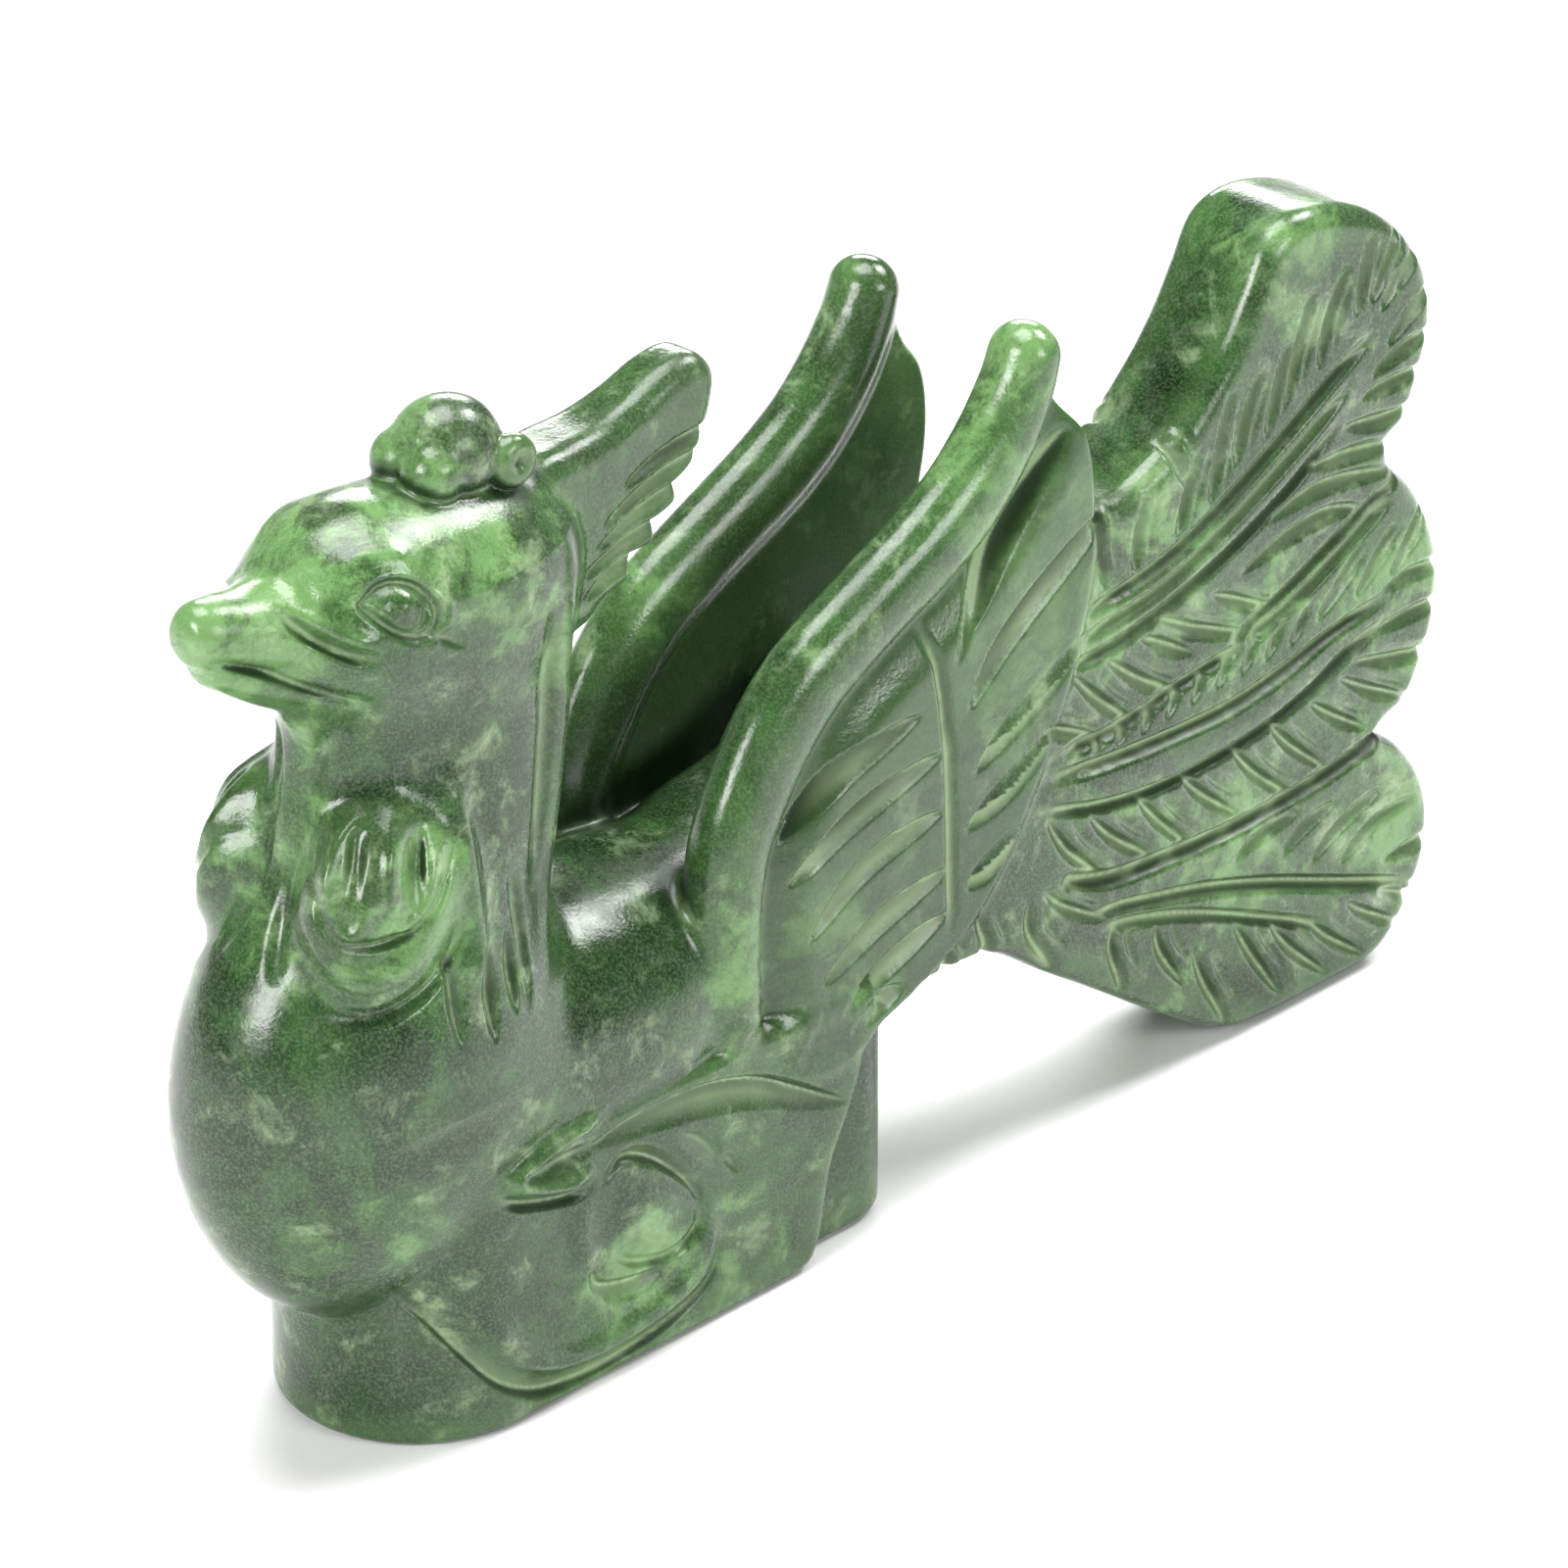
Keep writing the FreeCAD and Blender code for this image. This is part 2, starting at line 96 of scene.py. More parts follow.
# ---- curves and side-view maps ----

STEP = 0.2
MARGIN = 6
MAP_LOW = np.array([cad_low.x / MM - MARGIN, cad_low.z / MM - MARGIN])
MAP_HIGH = np.array([cad_high.x / MM + MARGIN, cad_high.z / MM + MARGIN])
MAP_SHAPE = np.ceil((MAP_HIGH - MAP_LOW) / STEP).astype(int)


def smooth_curve(points, closed=False, pieces=8):
    """Points along a smooth curve through the given points."""
    points = np.array(points, float)
    if closed:
        padded = np.vstack([points[-1:], points, points[:2]])
    else:
        padded = np.vstack([2 * points[0] - points[1], points, 2 * points[-1] - points[-2]])
    t = np.linspace(0, 1, pieces, endpoint=False)[:, None]
    runs = []
    for p0, p1, p2, p3 in zip(padded, padded[1:], padded[2:], padded[3:]):
        bend = 2 * p0 - 5 * p1 + 4 * p2 - p3
        turn = -p0 + 3 * p1 - 3 * p2 + p3
        runs.append(0.5 * (2 * p1 + (p2 - p0) * t + bend * t**2 + turn * t**3))
    if not closed:
        runs.append(points[-1:])
    return np.vstack(runs)


def window(points, reach):
    """The part of a side-view map within `reach` of some points: its slices and its cells' places."""
    low = np.floor((points.min(0) - reach - MAP_LOW) / STEP).astype(int)
    high = np.ceil((points.max(0) + reach - MAP_LOW) / STEP).astype(int)
    low = np.clip(low, 0, MAP_SHAPE)
    high = np.clip(high, 0, MAP_SHAPE)
    across, up = np.meshgrid(np.arange(low[0], high[0]), np.arange(low[1], high[1]), indexing="ij")
    x = (across * STEP + MAP_LOW[0]).astype(np.float32)
    z = (up * STEP + MAP_LOW[1]).astype(np.float32)
    return (slice(low[0], high[0]), slice(low[1], high[1])), x, z


def measure(line, x, z):
    """Distance of each place from a line, how far along it (0 to 1), and the side (+1 to its left)."""
    nearest = np.full(x.shape, 1e9, np.float32)
    along = np.zeros(x.shape, np.float32)
    side = np.ones(x.shape, np.float32)
    lengths = np.hypot(*np.diff(line, axis=0).T)
    total = lengths.sum()
    done = 0.0
    for start, end, length in zip(line, line[1:], lengths):
        if length < 1e-6:
            continue
        tx, tz = (end - start) / length
        dx = x - start[0]
        dz = z - start[1]
        t = np.clip(dx * tx + dz * tz, 0, length)
        far = (dx - t * tx) ** 2 + (dz - t * tz) ** 2
        better = far < nearest
        nearest[better] = far[better]
        along[better] = ((done + t) / total)[better]
        side[better] = np.where(tx * dz - tz * dx >= 0, 1, -1)[better]
        done += length
    return np.sqrt(nearest), along, side


def inside(line, x, z):
    """True where a place lies inside a closed line."""
    result = np.zeros(x.shape, bool)
    for (x0, z0), (x1, z1) in zip(line, np.roll(line, -1, axis=0)):
        if z0 == z1:
            continue
        crosses = (z0 > z) != (z1 > z)
        result ^= crosses & (x < (x1 - x0) * (z - z0) / (z1 - z0) + x0)
    return result


class SideMap:
    """Values over the side view, read at any place by smooth interpolation."""

    def __init__(self, value=0.0):
        self.values = np.full(MAP_SHAPE, value, np.float32)

    def read(self, x, z):
        """The map's values at some places."""
        u = np.clip((x - MAP_LOW[0]) / STEP, 0, MAP_SHAPE[0] - 1.01)
        v = np.clip((z - MAP_LOW[1]) / STEP, 0, MAP_SHAPE[1] - 1.01)
        i = u.astype(np.int32)
        j = v.astype(np.int32)
        u = u - i
        v = v - j
        grid = self.values
        low = grid[i, j] * (1 - u) + grid[i + 1, j] * u
        high = grid[i, j + 1] * (1 - u) + grid[i + 1, j + 1] * u
        return low * (1 - v) + high * v

    def soften(self, rounds=1):
        """Blurs the map a little, so that cuts have no stepped edges."""
        for _ in range(rounds):
            for axis in (0, 1):
                before = np.roll(self.values, 1, axis)
                after = np.roll(self.values, -1, axis)
                self.values = 0.25 * before + 0.5 * self.values + 0.25 * after

    def gouge(self, points, width, depth, lean=0.0, blunt_start=0.0, blunt_end=0.0):
        """A leaf-shaped cut along a curve: narrow at its ends, leaning towards one side.

        A lean of 0.6 puts the deepest line near the curve's left edge. A blunt end keeps that share of
        the width.
        """
        line = smooth_curve(points)
        area, x, z = window(line, width + 1)
        far, along, side = measure(line, x, z)
        swell = np.clip(np.sin(math.pi * along), 0, 1) ** 0.6
        ends = np.where(along < 0.5, blunt_start, blunt_end)
        swell = swell + ends * (1 - swell)
        across = far * side / (0.5 * width * swell + 1e-3)
        up_slope = (across + 1) / (1 + lean)
        down_slope = (1 - across) / (1 - lean)
        shape = np.clip(np.minimum(up_slope, down_slope), 0, 1) * swell
        self.values[area] = np.maximum(self.values[area], depth * shape)

    def groove(self, points, width, depth, fade=0.15):
        """A round-bottomed cut of even width, running out over `fade` of its length at both ends."""
        line = smooth_curve(points)
        area, x, z = window(line, width)
        far, along, _ = measure(line, x, z)
        run_out = np.ones_like(along)
        if fade > 0:
            run_out = np.clip(np.minimum(along, 1 - along) / fade, 0, 1)
        shape = np.clip(1 - (far / (0.5 * width)) ** 2, 0, 1)
        self.values[area] = np.maximum(self.values[area], depth * shape * run_out)

    def swell(self, points, width, height, fade=0.2):
        """A soft raised rib along a curve."""
        line = smooth_curve(points)
        area, x, z = window(line, 1.5 * width)
        far, along, _ = measure(line, x, z)
        run_out = np.clip(np.minimum(along, 1 - along) / fade, 0, 1)
        self.values[area] += height * run_out * np.exp(-((far / (0.5 * width)) ** 2))


FAR_AWAY = 30.0
OUTLINE_REACH = 12


def outline_map(points):
    """A map of the signed distance to a smooth closed outline, negative inside."""
    line = smooth_curve(points, closed=True)
    loop = np.vstack([line, line[:1]])
    result = SideMap(FAR_AWAY)
    area, x, z = window(line, OUTLINE_REACH)
    far, _, _ = measure(loop, x, z)
    result.values[area] = np.where(inside(line, x, z), -far, far)
    return result


# ---- blends ----

def join(a, b, soft):
    """Union of two solids with a fillet of about `soft`."""
    h = np.clip(0.5 + 0.5 * (b - a) / soft, 0, 1)
    return b + (a - b) * h - soft * h * (1 - h)


def carve(a, b, soft):
    """Solid a with solid b taken away."""
    return -join(-a, b, soft)


def ellipsoid(x, y, z, centre, radii):
    """About the distance to an ellipsoid."""
    u = (x - centre[0]) / radii[0]
    v = (y - centre[1]) / radii[1]
    w = (z - centre[2]) / radii[2]
    size = np.sqrt(u * u + v * v + w * w) + 1e-6
    slope = np.sqrt((u / radii[0]) ** 2 + (v / radii[1]) ** 2 + (w / radii[2]) ** 2) + 1e-6
    return size * (size - 1) / slope


def oval(u, v, a, b):
    """About the distance to an ellipse with half axes a and b."""
    size = np.sqrt((u / a) ** 2 + (v / b) ** 2) + 1e-6
    slope = np.sqrt((u / a**2) ** 2 + (v / b**2) ** 2) + 1e-6
    return size * (size - 1) / slope


def slab(outline, y, centre, half, rounding):
    """A plate: a side outline given as distances, and its thickness, with rounded edges."""
    u = outline + rounding
    v = np.abs(y - centre) - half + rounding
    outer = np.sqrt(np.maximum(u, 0) ** 2 + np.maximum(v, 0) ** 2)
    return outer + np.minimum(np.maximum(u, v), 0) - rounding


def ramp(value, start, end):
    """0 before start, 1 after end, smooth between."""
    t = np.clip((value - start) / (end - start), 0, 1)
    return t * t * (3 - 2 * t)


def along_table(value, table):
    """Reads the columns of a table, whose first column is the position, along smooth curves."""
    dense = smooth_curve(table, pieces=6)
    return [np.interp(value, dense[:, 0], column).astype(np.float32) for column in dense.T[1:]]


# ---- the wings ----

ROLL_LINE = [
    (8.6, 27), (8.3, 33), (8.5, 38), (9.5, 43), (11.7, 47.2), (14.5, 51.2), (18.3, 54.7), (23.3, 57.5),
    (28, 59.8), (32.5, 62), (36.8, 64.9), (40.5, 68.8), (42.8, 72.5), (43.8, 75.2),
]
# share of the roll's length, half width in the side view
ROLL_WIDTH = [(0, 3.0), (0.2, 3.6), (0.4, 4.1), (0.6, 3.9), (0.75, 4.0), (0.9, 3.6), (1, 2.9)]
PANEL_OUTLINE = [
    (10, 30), (9.5, 40), (14, 51), (28, 60), (38, 67), (44, 75), (47, 70), (49.3, 66.5), (50.3, 61),
    (50, 55), (49, 50), (47.5, 45), (45.3, 40), (43, 35.5), (40, 30.5), (36.5, 26.3), (33, 23.8),
    (29, 21.8), (24, 20), (18, 18.5), (13, 21),
]
FRONT_BARBS = [
    [(13.6, 41.2), (20, 45.6), (29.3, 48)],
    [(14, 37.2), (21, 41), (32, 43.5)],
    [(16, 31.6), (22.5, 36), (32.2, 38)],
    [(17.5, 26.8), (24.5, 30.2), (32.8, 32.2)],
    [(19.3, 23.2), (26, 25.9), (32.8, 28)],
    [(20.5, 21.1), (24, 22.4), (27.5, 23)],
]
REAR_BARBS = [
    [(35, 46.2), (40, 51.6), (49.8, 58)],
    [(35.6, 40), (41, 43.3), (48.6, 47.6)],
    [(34.6, 34.9), (39.5, 37), (45.2, 40.2)],
    [(34.8, 29.3), (38, 30.6), (40.9, 32.2)],
]
TIP_HOLLOW = [(34.6, 53.2), (39, 60), (46.8, 67.6)]
TIP_QUILL = [(33.4, 51), (36.5, 57), (42, 63.5), (45.5, 68)]
WING_QUILL = [(30.3, 55.5), (31.6, 50), (32.3, 45), (32.7, 38), (32.9, 31), (33, 26)]


def wing_maps():
    """The wing's rolled edge and its vane, with the feathers cut into the vane."""
    line = smooth_curve(ROLL_LINE)
    roll_far = SideMap(40.0)
    roll_half = SideMap(3.0)
    area, x, z = window(line, 16)
    far, along, _ = measure(line, x, z)
    roll_far.values[area] = far
    roll_half.values[area] = along_table(along, ROLL_WIDTH)[0]
    cuts = SideMap()
    for barb in FRONT_BARBS:
        cuts.gouge(barb, 2.6, 1.9, lean=0.6)
    for barb in REAR_BARBS:
        cuts.gouge(barb, 2.9, 1.9, lean=0.6, blunt_end=0.55)
    cuts.gouge(TIP_HOLLOW, 3.4, 1.6, lean=-0.5, blunt_end=0.4)
    cuts.groove(TIP_QUILL, 1.1, 1.0)
    cuts.groove(WING_QUILL, 1.3, 0.75, fade=0.1)
    cuts.soften()
    return roll_far, roll_half, outline_map(PANEL_OUTLINE), cuts


# ---- the tail ----

TAIL_OUTLINE = [
    (14, 22), (22, 20.4), (34, 20.6), (40, 20.2), (47, 15.6), (55, 10.2), (62, 5.4), (69, 1.2),
    (74, 0.1), (82, 0), (89, 0.3), (93, 3), (96, 8), (96.6, 12.5), (95.4, 17), (92.6, 20.8),
    (89.3, 23.6), (92.8, 25.4), (95, 29), (96.4, 33), (96.6, 38), (95.2, 42.5), (92.8, 46.5),
    (89.6, 49.8), (89.3, 52.2), (91.2, 53.6), (93, 57.5), (94.2, 62), (93.4, 67), (90.4, 71.5),
    (86, 75), (80.5, 77.2), (76, 77.6), (72.6, 76), (70.3, 72), (67.8, 68), (64.6, 64.4),
    (61, 61.4), (56, 59.2), (50, 57.5), (44, 52), (34, 46), (22, 42), (12, 38),
]
SHAFT_CUTS = [
    [(47, 45.2), (53, 45.4), (58, 46.4), (64, 48), (70, 50.2), (76, 53), (81.5, 56.8)],
    [(49, 47.4), (54, 48), (60, 49.2), (66, 51.4), (72, 54.2), (78, 57.3), (83, 60.2)],
    [(49, 49.6), (56, 50.6), (62, 52.1), (68, 54.6), (74, 57.7), (80, 61), (86, 63.8)],
    [(68, 40), (75, 42.4), (82, 45.4), (90, 48.7)],
    [(70, 39.3), (76, 41), (83, 44), (89, 47)],
    [(45, 35.6), (52, 34.7), (60, 34.1), (68, 34), (75, 34.9), (82, 36.3), (90, 37.5)],
    [(44, 33), (52, 30.6), (60, 29.5), (70, 29.9), (78, 31.4), (84, 33.6), (90, 35.2)],
    [(47, 37.4), (54, 37.2), (62, 38.4), (70, 39.3)],
    [(50, 20.4), (58, 18.9), (66, 17), (74, 14.4), (82, 11.3), (89, 8.6), (94.5, 6.6)],
    [(52, 18.4), (60, 16.6), (67, 14), (74, 10.8), (82, 7)],
]
UPPER_BARBS = [
    [(51.4, 60), (51.6, 56), (52, 51.2)],
    [(57, 58), (56.4, 55), (55.6, 51.2)],
    [(60.4, 64.5), (61.2, 60), (62.8, 56.6)],
    [(63.6, 60), (62.3, 56), (60.8, 52.6)],
    [(67.4, 64), (66.4, 59), (65, 54.2)],
    [(71, 64.5), (69.6, 61), (68, 57)],
    [(74.5, 66), (73.4, 62), (72, 58.4)],
    [(77.6, 70), (76, 65), (74.5, 60.6)],
    [(82, 71), (80, 67), (78.6, 62.6)],
    [(85, 73), (84.4, 69.5), (83.2, 66)],
    [(88.6, 72), (87, 69), (85.2, 66.6)],
    [(91.6, 69.5), (89, 68), (86.6, 65.6)],
    [(93.4, 65.6), (90.5, 64), (87.6, 61.8)],
    [(94, 61.4), (90, 60.8), (85.6, 59.6)],
    [(93.4, 58), (89, 58), (84, 58)],
    [(91.6, 54.8), (87, 54.8), (82, 56)],
]
LOWER_BARBS = [
    [(71.4, 46.6), (76, 47.6), (80.5, 47.9), (84.6, 46.6)],
    [(74.5, 50.2), (80, 50.8), (87.6, 49.6)],
    [(79, 53.4), (83, 52.8), (88.4, 52.2)],
    [(66.5, 45.3), (69.5, 43.6), (73, 41.9)],
    [(60, 45.4), (64, 43), (69, 41)],
    [(53.4, 43.6), (57, 40.6), (60.8, 38.4)],
    [(49, 43.6), (52, 40.4), (55.6, 37.4)],
    [(57.4, 44.4), (60, 42.8), (62.6, 41.4)],
    [(44, 41.2), (47, 39.4), (50.4, 38)],
]
BOTTOM_BARBS = [
    [(45.8, 31), (48.6, 27), (52.4, 23.6)],
    [(51, 29.6), (54, 26.4), (58, 23.4)],
    [(57, 29), (59.6, 26), (63, 22.6)],
    [(62.6, 29), (65.6, 26), (69, 23.4)],
    [(69, 29.4), (72.4, 25.6), (77, 21.8)],
    [(74, 29.8), (77, 26.6), (80.6, 23.6)],
    [(79.4, 30), (82.4, 27.6), (85.6, 25.6)],
    [(83.4, 31), (87, 28.6), (91.5, 26.4)],
    [(85, 32.2), (90, 30.6), (95.6, 29.6)],
    [(88, 34.2), (92, 34.2), (96.6, 34)],
    [(88.6, 37.8), (92, 38.2), (96.6, 37.6)],
    [(80, 38.6), (82.5, 40.6), (84.6, 43)],
    [(85, 39), (87.2, 41.2), (89, 43.4)],
    [(89.4, 39.4), (91.2, 41.2), (92.8, 43.8)],
    [(76.4, 16.6), (79, 18), (82, 18.8)],
    [(80.4, 14.4), (84, 16.4), (88, 17.6)],
    [(84.4, 12.6), (88, 14.6), (92.5, 15.2)],
    [(70, 18.4), (73, 19.4), (77, 19.9)],
    [(90, 10.6), (93, 10.4), (96.6, 10.4)],
    [(54.4, 18.4), (54, 15.6), (55.4, 11.6)],
    [(64.6, 10.6), (66.4, 7), (69, 2.6)],
    [(59.4, 15.4), (60.6, 12.4), (62.6, 9.4)],
    [(70, 11.4), (72.6, 7.4), (75.4, 3.4)],
    [(75, 9.4), (78, 5.8), (81.6, 2.6)],
    [(80, 8), (83, 5), (86.4, 2.6)],
    [(85, 8), (88, 5.6), (91.6, 3.6)],
    [(89.4, 7.4), (92, 6), (94.6, 5)],
    [(45.6, 24.4), (48, 22), (52, 19.6)],
    [(37.4, 25), (38.4, 22.6), (39.8, 19.8)],
    [(32.6, 24), (34, 22), (35.2, 19.8)],
    [(28.6, 23), (29.8, 21.4), (30.8, 19.6)],
    [(24.4, 22.4), (25.6, 21), (26.4, 19.4)],
    [(43.4, 24), (44, 20.6), (46.6, 17)],
]
# the crease between the middle and the bottom feather
FEATHER_CREASE = [(47, 25), (54, 22.8), (62, 22), (70, 21.6), (79, 22), (86, 22.9), (90.5, 24)]
MIDDLE_RIB = [(44, 34), (52, 32.6), (62, 31.8), (72, 32.4), (82, 34.6)]
TOP_RIB = [(50, 48), (60, 49.6), (70, 53), (80, 58.4), (86, 62)]
BOTTOM_RIB = [(52, 19.4), (62, 17), (72, 13.4), (82, 9.4), (92, 7)]
NICKS = 9


def stretched(line, factor, shift=(0, 0)):
    """A stroke made longer or shorter about its middle point, and moved by a shift."""
    line = np.array(line, float)
    middle = line.mean(0)
    return middle + (line - middle) * factor + shift


def tail_maps():
    """The tail's outline, the depth of everything cut into its faces, and its soft ribs.

    Beside each barb runs a second, finer stroke.
    """
    cuts = SideMap()
    for line in SHAFT_CUTS:
        cuts.groove(line, 1.5, 1.1, 0.12)
    for barb in UPPER_BARBS:
        cuts.gouge(barb, 1.7, 1.1, lean=-0.4, blunt_start=0.5)
        cuts.gouge(stretched(barb, 0.8, (1.5, 0.4)), 0.9, 0.5)
    for barb in LOWER_BARBS:
        cuts.gouge(stretched(barb, 1.35), 1.9, 1.1, lean=0.4)
        cuts.gouge(stretched(barb, 1.0, (1.6, 0.6)), 0.9, 0.5)
    for barb in BOTTOM_BARBS:
        cuts.gouge(stretched(barb, 1.2), 1.7, 1.1, lean=0.4, blunt_end=0.4)
        cuts.gouge(stretched(barb, 0.85, (1.7, 0.6)), 0.9, 0.5)
    for number in range(NICKS):
        x = 51.5 + 3.2 * number
        z = 36 + 0.26 * number
        cuts.gouge([(x - 1.2, z - 1.1), (x, z + 0.2), (x + 1.5, z + 2.2)], 1.3, 0.8, lean=0.2)
    cuts.groove(FEATHER_CREASE, 1.9, 1.3, fade=0.06)
    cuts.soften()
    ribs = SideMap()
    ribs.swell(MIDDLE_RIB, 4.4, 0.5)
    ribs.swell(TOP_RIB, 4.6, 0.4)
    ribs.swell(BOTTOM_RIB, 3.6, 0.4)
    return outline_map(TAIL_OUTLINE), cuts, ribs


# ---- the crest plume ----

PLUME_OUTLINE = [
    (-9, 77), (-6.5, 79.8), (-2, 80.3), (2, 80.6), (6, 81.6), (9.8, 83), (13, 83.2), (14.9, 81.4),
    (14.7, 78.6), (13.6, 75.8), (12.6, 73.8), (10.9, 72.4), (10.4, 70.8), (8.4, 69.8), (7.7, 68.2),
    (5.4, 67.3), (4.6, 65.8), (1.8, 65.2), (-1.1, 63.6), (-6, 64), (-10, 70),
]
PLUME_CUTS = [
    [(3.4, 75), (8.3, 76), (14.2, 76.8)],
    [(1, 72.4), (7, 73.9), (13, 75)],
    [(0, 70.6), (6.4, 72), (12.6, 73)],
    [(-1.6, 68.8), (4.6, 69.9), (10.4, 70.2)],
    [(-1.4, 66.8), (3.2, 68), (7.6, 67.8)],
]


def plume_maps():
    """The plume's outline and its fine gouges, all running to its ragged rear edge."""
    cuts = SideMap()
    for line in PLUME_CUTS:
        cuts.gouge(line, 1.8, 1.3, lean=0.4, blunt_end=0.3)
    cuts.soften()
    return outline_map(PLUME_OUTLINE), cuts


# ---- what is carved on the flanks of the body, neck, head and plinth ----

SCROLL_EDGE = [(2.4, 13), (2.6, 10.4), (0, 8.8), (-4.4, 9.8), (-7.4, 12)]
SCROLL_TOP = [(-8.6, 18.6), (-5.6, 20.4), (-2, 18.9), (1.6, 15.4), (3.4, 11.8)]
LEAF_TIP = [(-7, 25.5), (-12, 25.2), (-16, 24.6), (-18.2, 23.5), (-16, 22), (-12, 20.8), (-8.6, 20.7)]
BODY_LIP = [(-10, 22.8), (-4, 22.6), (3, 21.8), (9, 20.2), (13, 18.4), (17, 16.2), (21, 14.4)]
CLOUD_RIDGE = [
    (3, 13), (3.6, 9.4), (2, 6), (-2.6, 4.4), (-8, 3.7), (-13, 4.3), (-17.4, 6.6), (-20.2, 9.6),
    (-22.4, 13.4),
]
CLOUD_GROOVE = [
    (5.2, 8.6), (4, 4.8), (0, 3), (-5, 2.2), (-10, 2.1), (-15, 2.9), (-19, 5.2), (-22, 8.6),
    (-25, 12.6), (-29, 17),
]


def ring(centre, radius, start, end, steps=14):
    """Points on an arc; angles in degrees, anticlockwise from the tail side."""
    angles = np.radians(np.linspace(start, end, steps))
    return [(centre[0] + radius * math.cos(a), centre[1] + radius * math.sin(a)) for a in angles]


def plinth_relief():
    """The curling cloud on the plinth's side: a leaf's tip, a scroll and the ridge that winds round it."""
    height = SideMap()
    height.swell([(-7, 17), (-4, 15.6), (-1, 12.6), (-0.4, 11)], 6, 0.7, 0.35)
    height.swell(CLOUD_RIDGE, 2.8, 0.8, 0.12)
    height.swell([(-10.4, 19), (-10.6, 14), (-9, 10.8)], 2.4, 0.4, 0.3)
    height.swell(LEAF_TIP, 1.4, 1.2, 0.15)
    depth = SideMap()
    depth.groove(SCROLL_EDGE, 1.2, 0.6, 0.2)
    depth.gouge(SCROLL_TOP, 2.0, 1.2, lean=-0.4)
    depth.gouge([(-9.8, 11.4), (-8.4, 8.8), (-5, 7.6), (-1, 7.8)], 2.4, 1.1, lean=0.4)
    depth.groove([(-15.6, 23.2), (-12, 23), (-8, 22.8)], 1.5, 0.5, 0.35)
    depth.groove([(-20, 22.2), (-16.6, 20.6), (-12, 19.3), (-9, 19.4)], 1.4, 0.7, 0.2)
    depth.gouge([(0.4, 20), (3.4, 17.6), (5.6, 14.8)], 2.4, 0.7, lean=0.3)
    depth.gouge(CLOUD_GROOVE, 3.2, 1.1, lean=0.55)
    depth.groove([(5.4, 15.8), (6.8, 14.6), (7.4, 13.2)], 1.2, 0.5, 0.3)
    depth.gouge(BODY_LIP, 3.4, 1.6, lean=0.7)
    return height, depth


# the wattle is drawn on an upright plane; this is the plane's direction in x and s
QUARTER = (0.702, 0.712)
WATTLE_RIM = [(-20.2, 55), (-19.3, 50), (-17, 46.8), (-14.6, 45.8), (-11.5, 46.8), (-9, 50.4), (-8, 55)]
RIM_CREASE = [(-19.1, 55), (-17.9, 50.6), (-15.2, 49), (-12, 49.3), (-9.7, 51.2), (-8.8, 55)]
FRONT_PETAL = [(-14.6, 59), (-17.4, 57.4), (-18.4, 53.6), (-17.6, 50.4), (-15.6, 50.6), (-14.6, 54)]
REAR_PETAL = [(-12.8, 60), (-13.1, 55.3), (-13, 51.6), (-11.6, 49.8), (-9.9, 51.4), (-9.4, 57)]
UNDER_WATTLE = [(-19.6, 44.4), (-16.6, 42.8), (-13.4, 42.8), (-10, 44.6), (-7.4, 48.6)]
THROAT_FOLD = [(-17.2, 67), (-18.6, 63), (-20.2, 58), (-21.8, 51), (-22.6, 45)]


def wattle_maps():
    """The lobed wattle, drawn as seen from the bird's front quarter, where it faces."""
    height = SideMap()
    height.swell(WATTLE_RIM, 2.6, 0.8)
    height.swell(FRONT_PETAL, 1.5, 0.7)
    height.swell(REAR_PETAL, 1.5, 0.7)
    depth = SideMap()
    depth.groove([(-15.4, 58.2), (-15.9, 55.4), (-16.3, 52.7)], 1.7, 0.9, 0.4)
    depth.groove([(-11.3, 57.4), (-11.4, 54.4), (-11.5, 51.6)], 1.7, 0.9, 0.4)
    depth.groove(RIM_CREASE, 1.3, 0.7, 0.15)
    depth.groove(UNDER_WATTLE, 1.8, 0.6, 0.25)
    depth.groove(THROAT_FOLD, 1.8, 0.9, 0.2)
    height.soften()
    depth.soften()
    return height, depth


# place along X, lower and upper end
MANE_STRANDS = [(-23.9, 38.6, 46), (-20.4, 37.6, 45.6), (-17.4, 38.8, 45.6)]


def neck_relief():
    """The edge of the mane down the neck, and its pointed strands."""
    height = SideMap()
    height.swell([(-20.6, 61), (-20.2, 54), (-20.4, 47), (-21.6, 41.6)], 2.6, 0.7, 0.15)
    height.swell([(-7, 72), (-6, 64), (-7.4, 54), (-9.6, 44), (-12.6, 38)], 3.4, 0.7, 0.2)
    depth = SideMap()
    depth.groove([(-9.5, 72), (-9, 64), (-10.4, 54), (-12.6, 46)], 2.4, 0.6, 0.25)
    for x, low, high in MANE_STRANDS:
        depth.gouge([(x + 0.5, high), (x, (low + high) / 2), (x - 0.4, low)], 1.8, 1.0, lean=0.3)
    depth.groove([(-15.4, 50), (-15.2, 44), (-16, 38)], 1.6, 0.7, 0.3)
    return height, depth


EYE_LID = [
    (-28, 76.9), (-26.4, 77.9), (-24.6, 77.9), (-23, 76.9), (-22.1, 75.2), (-22.7, 73.9), (-24.2, 73.6),
    (-25.9, 74.5), (-27.2, 75.8),
]
EYE = (-24.8, 75.9)
# how far the middle of the eyeball is from the middle plane
EYE_DEPTH = 7.35
MOUTH = [(-40, 75), (-38, 74), (-35, 72.4), (-31.9, 70.4), (-29, 68.9), (-27, 68)]


